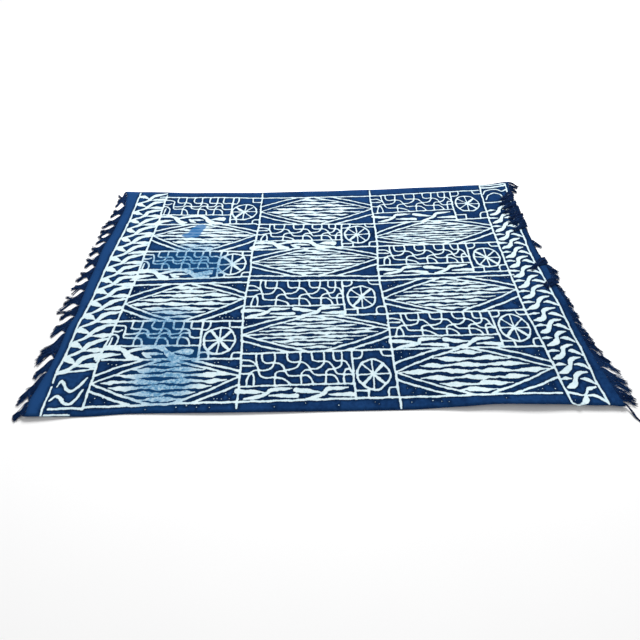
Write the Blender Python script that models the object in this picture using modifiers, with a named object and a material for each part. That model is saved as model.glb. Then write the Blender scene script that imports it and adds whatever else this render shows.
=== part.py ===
"""Ndop cloth: one panel of indigo cotton with a yarn fringe at both ends, laid out flat.

Metres, +Z up. X runs along the warp, from fringe to fringe, and Y runs across it, away from
the front edge. The cloth lies on z = 0 and the origin is the middle of its underside.
"""
import math
import random
from collections import namedtuple

import bmesh
import bpy
from mathutils import Vector

COLLECTION_NAME = "ndop_cloth"

# Cloth
PANEL_WIDTH = 1.08
CLOTH_THICK = 0.0016
RUN_CELLS = 26
CROSS_CELLS = 64
DENSE_ROWS = (1, 2, 3, 4, 6, 8, 10, 12)
MIDDLE_ROW_STEP = 4
DENSE_RUNS = (0.006, 0.014, 0.026)

# Fringe, one strand to each cell across the cloth
STRANDS_A_SIDE = CROSS_CELLS
CORNERS_A_STRAND = 3
STRAND_SHARE = 0.66
STRIP_WIDTH = 0.0035
STRIP_GAP = 0.0004
STRAND_THICK = 0.0014
STRAND_TIP_WIDTH = 0.0058
STRAND_TIP_GAP = 0.0012
LENGTH_SPREAD = 0.14
HEADING_SPREAD = math.radians(5.0)
FLAT_STEPS = 4
BEND_STEPS = 4
OVER_RADIUS = 0.0022
OVER_CLEARANCE = 0.0006
STRAND_SEED = 7

Knot = namedtuple("Knot", "run place")
Lift = namedtuple("Lift", "x y reach_x reach_y height")
Lock = namedtuple("Lock", "y heading length turn")
Ring = namedtuple("Ring", "place sideways normal width")

OUTWARD = Vector((1.0, 0.0, 0.0))
ACROSS = Vector((0.0, 1.0, 0.0))
UP = Vector((0.0, 0.0, 1.0))

# The panel's four edges as they lie. A knot's run is measured along the edge and its place
# across it, so the front and back edges are x to y, and the two ends are y to x.
FRONT_EDGE = (
    Knot(run=-0.864, place=-0.536),
    Knot(run=-0.702, place=-0.536),
    Knot(run=-0.562, place=-0.530),
    Knot(run=-0.249, place=-0.533),
    Knot(run=-0.011, place=-0.534),
    Knot(run=0.228, place=-0.534),
    Knot(run=0.399, place=-0.530),
    Knot(run=0.500, place=-0.526),
    Knot(run=0.662, place=-0.530),
    Knot(run=0.822, place=-0.536),
    Knot(run=0.871, place=-0.540),
)
BACK_EDGE = (
    Knot(run=-0.865, place=0.536),
    Knot(run=-0.794, place=0.531),
    Knot(run=-0.531, place=0.516),
    Knot(run=-0.248, place=0.506),
    Knot(run=0.006, place=0.508),
    Knot(run=0.228, place=0.516),
    Knot(run=0.500, place=0.526),
    Knot(run=0.714, place=0.535),
    Knot(run=0.852, place=0.542),
)
LEFT_END = (
    Knot(run=-0.536, place=-0.864),
    Knot(run=-0.481, place=-0.873),
    Knot(run=-0.434, place=-0.869),
    Knot(run=-0.363, place=-0.859),
    Knot(run=-0.302, place=-0.856),
    Knot(run=-0.220, place=-0.858),
    Knot(run=-0.151, place=-0.849),
    Knot(run=-0.096, place=-0.853),
    Knot(run=-0.018, place=-0.856),
    Knot(run=0.064, place=-0.853),
    Knot(run=0.153, place=-0.856),
    Knot(run=0.272, place=-0.843),
    Knot(run=0.403, place=-0.838),
    Knot(run=0.500, place=-0.852),
    Knot(run=0.536, place=-0.865),
)
RIGHT_END = (
    Knot(run=-0.540, place=0.871),
    Knot(run=-0.485, place=0.867),
    Knot(run=-0.437, place=0.864),
    Knot(run=-0.379, place=0.857),
    Knot(run=-0.317, place=0.850),
    Knot(run=-0.227, place=0.845),
    Knot(run=-0.157, place=0.851),
    Knot(run=-0.082, place=0.842),
    Knot(run=0.019, place=0.841),
    Knot(run=0.106, place=0.831),
    Knot(run=0.224, place=0.830),
    Knot(run=0.300, place=0.831),
    Knot(run=0.407, place=0.829),
    Knot(run=0.490, place=0.840),
    Knot(run=0.542, place=0.852),
)

# Where the cloth stands a little off the floor, from the front edge round to the back one.
LIFTS = (
    Lift(x=-0.865, y=-0.550, reach_x=0.17, reach_y=0.13, height=0.009),
    Lift(x=-0.280, y=-0.550, reach_x=0.36, reach_y=0.07, height=0.004),
    Lift(x=0.590, y=-0.550, reach_x=0.36, reach_y=0.11, height=0.014),
    Lift(x=0.870, y=-0.560, reach_x=0.15, reach_y=0.14, height=0.006),
    Lift(x=0.850, y=-0.020, reach_x=0.13, reach_y=0.38, height=0.006),
    Lift(x=0.850, y=0.370, reach_x=0.13, reach_y=0.25, height=0.009),
    Lift(x=0.870, y=0.560, reach_x=0.13, reach_y=0.14, height=0.008),
    Lift(x=-0.120, y=0.525, reach_x=0.40, reach_y=0.06, height=0.004),
    Lift(x=-0.870, y=0.200, reach_x=0.09, reach_y=0.30, height=0.003),
)

# How the fringe lies, front to back. Heading turns towards the front edge, in degrees, from
# straight out, or from straight back where the fringe is turned. A turn of 0 lies on the
# floor, 1 is thrown back over the cloth and -1 is tucked under it.
LEFT_LOCKS = (
    Lock(y=-0.545, heading=38, length=0.040, turn=0),
    Lock(y=-0.500, heading=40, length=0.056, turn=0),
    Lock(y=-0.440, heading=42, length=0.064, turn=0),
    Lock(y=-0.380, heading=34, length=0.046, turn=0),
    Lock(y=-0.310, heading=42, length=0.066, turn=0),
    Lock(y=-0.240, heading=30, length=0.056, turn=0),
    Lock(y=-0.170, heading=24, length=0.048, turn=0),
    Lock(y=-0.120, heading=22, length=0.060, turn=0),
    Lock(y=-0.040, heading=20, length=0.050, turn=0),
    Lock(y=0.110, heading=14, length=0.042, turn=0),
    Lock(y=0.180, heading=16, length=0.044, turn=0),
    Lock(y=0.290, heading=18, length=0.052, turn=0),
    Lock(y=0.400, heading=20, length=0.044, turn=0),
    Lock(y=0.500, heading=24, length=0.034, turn=0),
    Lock(y=0.545, heading=10, length=0.032, turn=0),
)
RIGHT_LOCKS = (
    Lock(y=-0.545, heading=18, length=0.046, turn=0),
    Lock(y=-0.450, heading=26, length=0.056, turn=0),
    Lock(y=-0.360, heading=32, length=0.050, turn=0),
    Lock(y=-0.290, heading=38, length=0.030, turn=0),
    Lock(y=-0.200, heading=40, length=0.022, turn=0),
    Lock(y=-0.100, heading=34, length=0.020, turn=0),
    Lock(y=-0.060, heading=22, length=0.046, turn=1),
    Lock(y=0.026, heading=30, length=0.034, turn=0),
    Lock(y=0.050, heading=24, length=0.044, turn=1),
    Lock(y=0.110, heading=10, length=0.032, turn=-1),
    Lock(y=0.170, heading=32, length=0.030, turn=0),
    Lock(y=0.200, heading=12, length=0.032, turn=-1),
    Lock(y=0.280, heading=20, length=0.040, turn=1),
    Lock(y=0.380, heading=26, length=0.046, turn=1),
    Lock(y=0.470, heading=30, length=0.042, turn=1),
    Lock(y=0.510, heading=26, length=0.034, turn=0),
    Lock(y=0.545, heading=-6, length=0.042, turn=0),
)

# The yarn that trails from the front right corner
STRAY_YARN = Lock(y=-0.540, heading=math.radians(68), length=0.064, turn=0)
STRAY_TIP_WIDTH = 0.0024

INDIGO = (0.012, 0.048, 0.170, 1.0)
FRINGE_NAVY = (0.008, 0.014, 0.050, 1.0)


def clear_scene():
    """Start from an empty file, so that the script gives the same scene each time."""
    for item in list(bpy.data.objects):
        bpy.data.objects.remove(item, do_unlink=True)


def make_material(name, colour, roughness):
    material = bpy.data.materials.new(name)
    material.use_nodes = True
    shader = material.node_tree.nodes["Principled BSDF"]
    shader.inputs["Base Color"].default_value = colour
    shader.inputs["Roughness"].default_value = roughness
    shader.inputs["Metallic"].default_value = 0.0
    return material


def ease(share):
    """Go from 0 to 1 with a level start and a level end."""
    share = min(1.0, max(0.0, share))
    return share * share * (3.0 - 2.0 * share)


def between(knots, run):
    """Place of an edge at a run, eased from one knot to the next."""
    if run <= knots[0].run:
        return knots[0].place
    for low, high in zip(knots, knots[1:]):
        if run <= high.run:
            share = (run - low.run) / (high.run - low.run)
            return low.place + (high.place - low.place) * ease(share)
    return knots[-1].place


def cloth_height(x, y):
    """Height of the cloth's underside over the floor."""
    height = 0.0
    for lift in LIFTS:
        off_x = (x - lift.x) / lift.reach_x
        off_y = (y - lift.y) / lift.reach_y
        far = off_x * off_x + off_y * off_y
        if far < 1.0:
            height += lift.height * (1.0 - far) ** 2
    return height


def plan_point(along, across):
    """Place in plan of a point of the cloth, in shares from left to right and from front to back."""
    front_y = between(FRONT_EDGE, FRONT_EDGE[0].run + along * (FRONT_EDGE[-1].run - FRONT_EDGE[0].run))
    back_y = between(BACK_EDGE, BACK_EDGE[0].run + along * (BACK_EDGE[-1].run - BACK_EDGE[0].run))
    y = front_y + across * (back_y - front_y)
    left_x = between(LEFT_END, y)
    right_x = between(RIGHT_END, y)
    return left_x + along * (right_x - left_x), y


def cross_rows():
    """Rows of the cloth's grid from front to back, in cells, dense near the two edges."""
    last_dense = DENSE_ROWS[-1]
    middle = range(last_dense + MIDDLE_ROW_STEP, CROSS_CELLS - last_dense, MIDDLE_ROW_STEP)
    far = [CROSS_CELLS - row for row in reversed(DENSE_ROWS)]
    return [0, *DENSE_ROWS, *middle, *far, CROSS_CELLS]


def run_columns():
    """Columns of the cloth's grid from left to right, as shares, dense near the two ends."""
    first = DENSE_RUNS[-1]
    middle = [first + (1.0 - 2.0 * first) * cell / RUN_CELLS for cell in range(1, RUN_CELLS)]
    far = [1.0 - share for share in reversed(DENSE_RUNS)]
    return [0.0, *DENSE_RUNS, *middle, *far, 1.0]


def finish_object(name, mesh, material, collection):
    mesh.materials.append(material)
    item = bpy.data.objects.new(name, mesh)
    collection.objects.link(item)
    return item


def make_cloth(material, collection):
    """The woven panel: a grid laid on its four edges and its lifts, thickened upwards."""
    rows = cross_rows()
    columns = run_columns()
    builder = bmesh.new()
    bmesh.ops.create_grid(builder, x_segments=len(columns) - 1, y_segments=len(rows) - 1, size=0.5)
    for vertex in builder.verts:
        column = round((vertex.co.x + 0.5) * (len(columns) - 1))
        row = round((vertex.co.y + 0.5) * (len(rows) - 1))
        x, y = plan_point(columns[column], rows[row] / CROSS_CELLS)
        vertex.co = (x, y, cloth_height(x, y))
    mesh = bpy.data.meshes.new("cloth_panel")
    builder.to_mesh(mesh)
    builder.free()
    panel = finish_object("cloth_panel", mesh, material, collection)
    wall = panel.modifiers.new("cloth_thickness", "SOLIDIFY")
    wall.thickness = CLOTH_THICK
    wall.offset = 1.0
    return panel


def end_line():
    """Shares across the cloth at the strip's corners: each cell's start, then its strand's sides."""
    margin = (1.0 - STRAND_SHARE) / 2.0
    shares = []
    for strand in range(STRANDS_A_SIDE):
        for offset in (0.0, margin, 1.0 - margin):
            shares.append((strand + offset) / STRANDS_A_SIDE)
    return [*shares, 1.0]


def end_point(side, across):
    """A point on the cloth's end, straight between the rows of its grid, as the cloth is."""
    along = 0.5 + 0.5 * side
    rows = cross_rows()
    place = across * CROSS_CELLS
    for low, high in zip(rows, rows[1:]):
        if place <= high:
            break
    share = (place - low) / (high - low)
    low_x, low_y = plan_point(along, low / CROSS_CELLS)
    high_x, high_y = plan_point(along, high / CROSS_CELLS)
    start = Vector((low_x, low_y, cloth_height(low_x, low_y)))
    end = Vector((high_x, high_y, cloth_height(high_x, high_y)))
    return start.lerp(end, share)


def lock_at(locks, y):
    """Heading and length eased between the rows of a table, and the turn of the nearest row."""
    nearest = min(locks, key=lambda lock: abs(lock.y - y))
    same = [lock for lock in locks if lock.turn == nearest.turn]
    heading = between([Knot(lock.y, lock.heading) for lock in same], y)
    length = between([Knot(lock.y, lock.length) for lock in same], y)
    return Lock(y=y, heading=math.radians(heading), length=length, turn=nearest.turn)


def lying_directions(side, lock):
    """The way a strand lies in plan, and the way across it towards the back edge."""
    out = -side if lock.turn else side
    ahead = Vector((out * math.cos(lock.heading), -math.sin(lock.heading), 0.0))
    sideways = Vector((out * math.sin(lock.heading), math.cos(lock.heading), 0.0))
    return ahead, sideways


def half_turn(root, side, turn, width):
    """Rings of the half turn by which a strand goes back over or under the cloth's end."""
    radius = OVER_RADIUS if turn > 0 else (root.z - STRAND_THICK / 2.0) / 2.0
    rings = []
    for step in range(1, BEND_STEPS + 1):
        angle = math.pi * step / BEND_STEPS
        reach = OUTWARD * (side * radius * math.sin(angle))
        place = root + reach + UP * (turn * radius * (1.0 - math.cos(angle)))
        normal = UP * math.cos(angle) - OUTWARD * (side * turn * math.sin(angle))
        rings.append(Ring(place, ACROSS, normal, width))
    return rings


def resting_height(place, turn):
    """Height of the middle of a strand that lies on the cloth or, unless it turns over, on the floor."""
    if turn > 0:
        return cloth_height(place.x, place.y) + CLOTH_THICK + OVER_CLEARANCE + STRAND_THICK / 2.0
    return STRAND_THICK / 2.0


def laid_run(start, side, lock, drift, width, tip_width):
    """Rings of the level stretch, which narrows and drifts sideways towards its tip."""
    ahead, sideways = lying_directions(side, lock)
    normal = -UP if lock.turn else UP
    drop = start.z - resting_height(start, lock.turn)
    rings = []
    for step in range(1, FLAT_STEPS + 1):
        share = step / FLAT_STEPS
        place = start + ahead * (lock.length * share) + sideways * (drift * ease(share))
        place.z = resting_height(place, lock.turn) + drop * (1.0 - ease(share))
        rings.append(Ring(place, sideways, normal, width + (tip_width - width) * share))
    return rings


def grow_strand(builder, face, side, lock, drift, tip_width):
    """Draw a face of the strip out along a strand's rings."""
    root = face.calc_center_median()
    signs = [(math.copysign(1.0, v.co.y - root.y), math.copysign(1.0, v.co.z - root.z)) for v in face.verts]
    root_width = STRAND_SHARE * (PANEL_WIDTH / STRANDS_A_SIDE)
    rings = half_turn(root, side, lock.turn, root_width) if lock.turn else []
    start = rings[-1].place if rings else root
    rings += laid_run(start, side, lock, drift, root_width * math.cos(lock.heading), tip_width)
    for ring in rings:
        face = bmesh.ops.extrude_discrete_faces(builder, faces=[face])["faces"][0]
        for vertex, (across, above) in zip(face.verts, signs):
            spread = ring.sideways * (across * ring.width / 2.0)
            vertex.co = ring.place + spread + ring.normal * (above * STRAND_THICK / 2.0)


def strip_mesh(builder, side):
    """The narrow strip of the cloth's end that holds the roots, and its outer faces."""
    columns = []
    for across in end_line():
        base = end_point(side, across)
        inner = base + Vector((side * STRIP_GAP, 0.0, 0.0))
        outer = inner + Vector((side * STRIP_WIDTH, 0.0, 0.0))
        top = Vector((0.0, 0.0, STRAND_THICK))
        columns.append([builder.verts.new(place) for place in (inner, outer, outer + top, inner + top)])
    outer_faces = []
    for near, far in zip(columns, columns[1:]):
        for corner in range(4):
            after = (corner + 1) % 4
            face = builder.faces.new((near[corner], near[after], far[after], far[corner]))
            if corner == 1:
                outer_faces.append(face)
    builder.faces.new(columns[0])
    builder.faces.new(list(reversed(columns[-1])))
    return outer_faces


def make_fringe(name, side, locks, material, collection):
    """One fringe: a strip parted from the cloth's end, and pairs of strands whose tips meet."""
    draw = random.Random(STRAND_SEED + side)
    builder = bmesh.new()
    outer_faces = strip_mesh(builder, side)
    strand_faces = outer_faces[1::CORNERS_A_STRAND]
    for front_face, back_face in zip(strand_faces[0::2], strand_faces[1::2]):
        roots = [face.calc_center_median() for face in (front_face, back_face)]
        lock = lock_at(locks, (roots[0].y + roots[1].y) / 2.0)
        lock = lock._replace(heading=lock.heading + HEADING_SPREAD * draw.uniform(-1.0, 1.0))
        sideways = lying_directions(side, lock)[1]
        drift = ((roots[1] - roots[0]).dot(sideways) - STRAND_TIP_WIDTH - STRAND_TIP_GAP) / 2.0
        for face, towards in ((front_face, 1.0), (back_face, -1.0)):
            length = lock.length * (1.0 + LENGTH_SPREAD * draw.uniform(-1.0, 1.0))
            own_lock = lock._replace(length=length)
            if side > 0 and face is strand_faces[0]:
                grow_strand(builder, face, side, STRAY_YARN, 0.0, STRAY_TIP_WIDTH)
            else:
                grow_strand(builder, face, side, own_lock, towards * drift, STRAND_TIP_WIDTH)
    bmesh.ops.recalc_face_normals(builder, faces=builder.faces)
    mesh = bpy.data.meshes.new(name)
    builder.to_mesh(mesh)
    builder.free()
    return finish_object(name, mesh, material, collection)


def main():
    clear_scene()
    collection = bpy.data.collections.new(COLLECTION_NAME)
    bpy.context.scene.collection.children.link(collection)
    cotton = make_material("indigo_cotton", INDIGO, 0.85)
    yarn = make_material("fringe_yarn", FRINGE_NAVY, 0.9)
    make_cloth(cotton, collection)
    make_fringe("fringe_left", -1, LEFT_LOCKS, yarn, collection)
    make_fringe("fringe_right", 1, RIGHT_LOCKS, yarn, collection)


main()
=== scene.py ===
# %% [markdown]
# # An ndop cloth, laid out flat
# A real ndop is woven in narrow cotton strips, its drawing is stitched or pasted over so that
# the dye can't reach it, and the whole cloth is dipped in indigo. The threads are taken out at
# the end, and what they covered stays pale. This file builds the same things in the same
# order: the way the cloth lies, the drawing, the dyed sheet, and the fringe of warp ends.
# It starts from the packed solids, which give the size and the place of everything.

# %% Load the packed solids
import math
import random
from collections import namedtuple

import bpy
import numpy as np
from mathutils import Matrix, Vector, geometry, kdtree


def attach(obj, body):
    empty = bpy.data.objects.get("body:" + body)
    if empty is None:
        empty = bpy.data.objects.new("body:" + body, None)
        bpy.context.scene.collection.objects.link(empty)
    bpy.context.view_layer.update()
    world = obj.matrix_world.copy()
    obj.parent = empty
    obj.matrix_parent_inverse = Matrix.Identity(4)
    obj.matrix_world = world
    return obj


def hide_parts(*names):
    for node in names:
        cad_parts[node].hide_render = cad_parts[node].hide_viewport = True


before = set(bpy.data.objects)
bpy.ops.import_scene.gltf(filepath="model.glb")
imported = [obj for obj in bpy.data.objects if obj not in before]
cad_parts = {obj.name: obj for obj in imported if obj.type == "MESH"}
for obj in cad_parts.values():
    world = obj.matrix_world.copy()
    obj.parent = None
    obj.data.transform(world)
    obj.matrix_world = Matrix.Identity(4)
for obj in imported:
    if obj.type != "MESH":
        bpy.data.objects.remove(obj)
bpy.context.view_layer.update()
print("nodes:", sorted(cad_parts))

# %% [markdown]
# ## Camera
# The cloth was photographed from above its front edge with a wide lens. A camera needs three
# directions: right, up and back. They are worked out from the pitch, the yaw and the roll, so
# that the numbers stay readable, and one matrix carries them and the place to the camera.

# %% Camera
CAMERA_PLACE = Vector((-0.0059, -1.0126, 1.0936))
CAMERA_PITCH = math.radians(53.46)
CAMERA_YAW = math.radians(-0.03)
CAMERA_ROLL = -0.0188
LENS_MM = 22.5
SENSOR_MM = 36.0


def camera_directions():
    """Right, up and forward of a camera that looks along +Y, is pitched down and then rolled."""
    turn = Matrix.Rotation(CAMERA_YAW, 3, "Z") @ Matrix.Rotation(-CAMERA_PITCH, 3, "X")
    right, forward, up = turn.col[0], turn.col[1], turn.col[2]
    rolled_right = right * math.cos(CAMERA_ROLL) + up * math.sin(CAMERA_ROLL)
    rolled_up = up * math.cos(CAMERA_ROLL) - right * math.sin(CAMERA_ROLL)
    return rolled_right, rolled_up, forward


camera_data = bpy.data.cameras.new("camera")
camera_data.lens = LENS_MM
camera_data.sensor_width = SENSOR_MM
camera = bpy.data.objects.new("camera", camera_data)
bpy.context.scene.collection.objects.link(camera)
right, up, forward = camera_directions()
axes = Matrix((right, up, -forward)).transposed()
camera.matrix_world = Matrix.Translation(CAMERA_PLACE) @ axes.to_4x4()
bpy.context.scene.camera = camera
print("camera looks along", [round(x, 3) for x in forward])

# %% [markdown] ## Floor The floor is one large pale square, a hair below the cloth, so
# that the two never share a plane. `make_mesh` turns lists of corners and faces into an
# object, and the sheet uses it later.

# %% Floor
FLOOR_SIZE = 14.0
FLOOR_DROP = 0.0004


def make_mesh(name, corners, faces):
    """A mesh object at the origin, with its place in its corners."""
    mesh = bpy.data.meshes.new(name)
    mesh.from_pydata(corners, [], faces)
    item = bpy.data.objects.new(name, mesh)
    bpy.context.scene.collection.objects.link(item)
    return item


half = FLOOR_SIZE / 2.0
floor_plan = ((-half, -half), (half, -half), (half, half), (-half, half))
floor = make_mesh("floor", [(x, y, -FLOOR_DROP) for x, y in floor_plan], [(0, 1, 2, 3)])
print("floor:", FLOOR_SIZE, "m square")

# %% [markdown]
# ## Light
# Cloth looks flat under a hard lamp from the front. Here a bright even room lights it from all
# round, and one large soft lamp behind it puts a soft grey line of shadow under the front edge,
# where the cloth stands a little off the floor. The Standard view keeps colours as they are.

# %% Light
ROOM_BRIGHT = 0.45
LAMP_PLACE = Vector((0.3, 3.4, 2.9))
LAMP_SIZE = 2.0
LAMP_WATTS = 290.0

world = bpy.data.worlds.new("room")
bpy.context.scene.world = world
world.use_nodes = True
world.node_tree.nodes["Background"].inputs["Color"].default_value = (1.0, 1.0, 1.0, 1.0)
world.node_tree.nodes["Background"].inputs["Strength"].default_value = ROOM_BRIGHT

lamp_data = bpy.data.lights.new("soft_lamp", "AREA")
lamp_data.shape = "DISK"
lamp_data.size = LAMP_SIZE
lamp_data.energy = LAMP_WATTS
lamp = bpy.data.objects.new("soft_lamp", lamp_data)
bpy.context.scene.collection.objects.link(lamp)
lamp.location = LAMP_PLACE
lamp.rotation_mode = "QUATERNION"
lamp.rotation_quaternion = (-LAMP_PLACE).to_track_quat("-Z", "Y")
bpy.context.scene.view_settings.view_transform = "Standard"
print("room", ROOM_BRIGHT, "lamp", LAMP_WATTS)

# %% [markdown]
# ## Two small tools for materials
# Shader maths reads badly as a list of nodes and links. `Value` wraps one socket and gives it
# the plus, minus and times signs, so that a formula in Python adds the Math nodes by itself.

# %% Sums on a socket
class Value:
    """A number that varies over a surface. Sums and products of it add Math nodes."""

    def __init__(self, nodes, socket):
        self.nodes = nodes
        self.socket = socket

    def math(self, operation, *others, clamp=False):
        sockets = dict(enumerate([self, *others]))
        node = self.nodes.add("ShaderNodeMath", {"operation": operation, "use_clamp": clamp}, sockets)
        return Value(self.nodes, node.outputs[0])

    def __add__(self, other):
        return self.math("ADD", other)

    def __radd__(self, other):
        return self.math("ADD", other)

    def __sub__(self, other):
        return self.math("SUBTRACT", other)

    def __rsub__(self, other):
        return (self * -1.0).math("ADD", other)

    def __mul__(self, other):
        return self.math("MULTIPLY", other)

    def __rmul__(self, other):
        return self.math("MULTIPLY", other)

    def __pow__(self, other):
        return self.math("POWER", other)

    def clamp(self):
        return self.math("ADD", 0.0, clamp=True)

    def sine(self):
        return self.math("SINE")

    def absolute(self):
        return self.math("ABSOLUTE")

    def rise(self, low, high):
        """0 below low, 1 above high, and a straight climb between them."""
        return ((self - low) * (1.0 / (high - low))).clamp()


print("a value can also do:", [name for name in vars(Value) if not name.startswith("_")])

# %% [markdown]
# `Nodes.add` makes any other node: its type, its settings, and then its sockets, each with a
# value or a link. It serves the materials, and later the tree that makes the fringe yarns.
# Its other methods are short names for the nodes that this file needs again and again.

# %% Adding nodes
class Nodes:
    """The nodes of one tree, and the ways in which this file adds to them."""

    def __init__(self, tree):
        self.tree = tree

    def add(self, kind, settings=None, sockets=None):
        node = self.tree.nodes.new(kind)
        for name, setting in (settings or {}).items():
            setattr(node, name, setting)
        for name, given in (sockets or {}).items():
            self.feed(node.inputs[name], given)
        return node

    def feed(self, socket, given):
        if isinstance(given, Value):
            given = given.socket
        if isinstance(given, bpy.types.NodeSocket):
            self.tree.links.new(given, socket)
        else:
            socket.default_value = given

    def value(self, kind, output, settings=None, sockets=None):
        return Value(self, self.add(kind, settings, sockets).outputs[output])

    def attribute(self, name):
        return self.value("ShaderNodeAttribute", "Fac", {"attribute_name": name})

    def place(self):
        return self.add("ShaderNodeTexCoord").outputs["Object"]

    def noise(self, vector, scale, detail=2.0, roughness=0.5):
        """Noise from about -0.5 to 0.5, scale spots to the metre."""
        sockets = {"Vector": vector, "Scale": scale, "Detail": detail, "Roughness": roughness}
        return self.value("ShaderNodeTexNoise", "Fac", None, sockets) - 0.5

    def mix(self, share, first, second):
        """Go from the first colour to the second with share."""
        sockets = {"Factor": share, 6: first, 7: second}
        return self.add("ShaderNodeMix", {"data_type": "RGBA"}, sockets).outputs[2]

    def bump(self, height, distance, strength):
        sockets = {"Height": height, "Distance": distance, "Strength": strength}
        return self.add("ShaderNodeBump", None, sockets).outputs["Normal"]

    def finish(self, sockets):
        """Feed the Principled shader, which every new material has."""
        for name, given in sockets.items():
            self.feed(self.tree.nodes["Principled BSDF"].inputs[name], given)


def new_material(name):
    """A material, and its nodes ready to be added to."""
    material = bpy.data.materials.new(name)
    material.use_nodes = True
    return material, Nodes(material.node_tree)


print("short names:", [name for name in vars(Nodes) if not name.startswith("_")])

# %% [markdown]
# The floor gets the first material: off-white, with large clouds that are hardly there, so
# that it reads as a real surface and not as empty space.

# %% Floor material
FLOOR_WHITE = (0.965, 0.965, 0.965, 1.0)
FLOOR_SHADE = (0.945, 0.945, 0.947, 1.0)
floor_material, floor_nodes = new_material("studio_floor")
floor_clouds = floor_nodes.noise(floor_nodes.place(), 3.0) + 0.5
floor_colour = floor_nodes.mix(floor_clouds, FLOOR_WHITE, FLOOR_SHADE)
floor_nodes.finish({"Base Color": floor_colour, "Roughness": 0.7})
floor.data.materials.append(floor_material)
print("floor material:", floor_material.name, "with", len(floor_nodes.tree.nodes), "nodes")

# %% [markdown]
# ## How the cloth lies
# The solids were built from four edge lines and a few places where the cloth stands off the
# floor. The same tables are repeated here, because every thread and every drawn line needs
# them. In an edge's table each pair is a run along the edge and the edge's place there: the
# front and back edges are x to y, and the two ends are y to x.

# %% Edges of the cloth
PANEL_LENGTH = 1.72
PANEL_WIDTH = 1.08
Knot = namedtuple("Knot", "run place")


def line_table(*pairs):
    """A line on the cloth, from pairs of a run along it and its place there."""
    return [Knot(*pair) for pair in pairs]


FRONT_EDGE = line_table(
    (-0.864, -0.536), (-0.702, -0.536), (-0.562, -0.530), (-0.249, -0.533), (-0.011, -0.534),
    (0.228, -0.534), (0.399, -0.530), (0.500, -0.526), (0.662, -0.530), (0.822, -0.536),
    (0.871, -0.540),
)
BACK_EDGE = line_table(
    (-0.865, 0.536), (-0.794, 0.531), (-0.531, 0.516), (-0.248, 0.506), (0.006, 0.508),
    (0.228, 0.516), (0.500, 0.526), (0.714, 0.535), (0.852, 0.542),
)
LEFT_END = line_table(
    (-0.536, -0.864), (-0.481, -0.873), (-0.434, -0.869), (-0.363, -0.859), (-0.302, -0.856),
    (-0.220, -0.858), (-0.151, -0.849), (-0.096, -0.853), (-0.018, -0.856), (0.064, -0.853),
    (0.153, -0.856), (0.272, -0.843), (0.403, -0.838), (0.500, -0.852), (0.536, -0.865),
)
RIGHT_END = line_table(
    (-0.540, 0.871), (-0.485, 0.867), (-0.437, 0.864), (-0.379, 0.857), (-0.317, 0.850),
    (-0.227, 0.845), (-0.157, 0.851), (-0.082, 0.842), (0.019, 0.841), (0.106, 0.831),
    (0.224, 0.830), (0.300, 0.831), (0.407, 0.829), (0.490, 0.840), (0.542, 0.852),
)
print("knots in the four edges:", sum(map(len, (FRONT_EDGE, BACK_EDGE, LEFT_END, RIGHT_END))))

# %% [markdown]
# A cloth never lies quite flat. A lift is a soft round hill of air under it, with its middle
# near an edge. `between` joins two knots of a table, and `ease` makes it level at both ends.
# `cloth_height` adds up the lifts that reach a place.

# %% Lifts of the cloth
CLOTH_THICK = 0.0016
Lift = namedtuple("Lift", "x y reach_x reach_y height")
LIFTS = (
    Lift(x=-0.865, y=-0.550, reach_x=0.17, reach_y=0.13, height=0.009),
    Lift(x=-0.280, y=-0.550, reach_x=0.36, reach_y=0.07, height=0.004),
    Lift(x=0.590, y=-0.550, reach_x=0.36, reach_y=0.11, height=0.014),
    Lift(x=0.870, y=-0.560, reach_x=0.15, reach_y=0.14, height=0.006),
    Lift(x=0.850, y=-0.020, reach_x=0.13, reach_y=0.38, height=0.006),
    Lift(x=0.850, y=0.370, reach_x=0.13, reach_y=0.25, height=0.009),
    Lift(x=0.870, y=0.560, reach_x=0.13, reach_y=0.14, height=0.008),
    Lift(x=-0.120, y=0.525, reach_x=0.40, reach_y=0.06, height=0.004),
    Lift(x=-0.870, y=0.200, reach_x=0.09, reach_y=0.30, height=0.003),
)


def ease(share):
    """Go from 0 to 1 with a level start and a level end."""
    share = min(1.0, max(0.0, share))
    return share * share * (3.0 - 2.0 * share)


def between(knots, run):
    """Place of a line at a run, eased from one knot to the next."""
    if run <= knots[0].run:
        return knots[0].place
    for low, high in zip(knots, knots[1:]):
        if run <= high.run:
            share = (run - low.run) / (high.run - low.run)
            return low.place + (high.place - low.place) * ease(share)
    return knots[-1].place


def cloth_height(x, y):
    """Height of the cloth's underside over the floor."""
    height = 0.0
    for lift in LIFTS:
        off_x = (x - lift.x) / lift.reach_x
        off_y = (y - lift.y) / lift.reach_y
        far = off_x * off_x + off_y * off_y
        if far < 1.0:
            height += lift.height * (1.0 - far) ** 2
    return height


print("highest lift:", 1000 * max(lift.height for lift in LIFTS), "mm")

# %% [markdown]
# Two shares, one from left to right and one from front to back, name any point of the cloth.
# `plan_point` finds where it lies between the four wavy edges, so a row of points with the
# same share follows a thread.

# %% Points of the cloth
def along_edge(knots, share):
    """Place of an edge at a share of its length."""
    return between(knots, knots[0].run + share * (knots[-1].run - knots[0].run))


def plan_point(along, across):
    """A point of the cloth in plan, from shares from left to right and from front to back."""
    front_y, back_y = along_edge(FRONT_EDGE, along), along_edge(BACK_EDGE, along)
    y = front_y + across * (back_y - front_y)
    left_x = between(LEFT_END, y)
    right_x = between(RIGHT_END, y)
    return left_x + along * (right_x - left_x), y


front_heights = [cloth_height(*plan_point(step / 50, 0.0)) for step in range(51)]
print("front edge stands up to", round(1000 * max(front_heights), 1), "mm off the floor")

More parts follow.
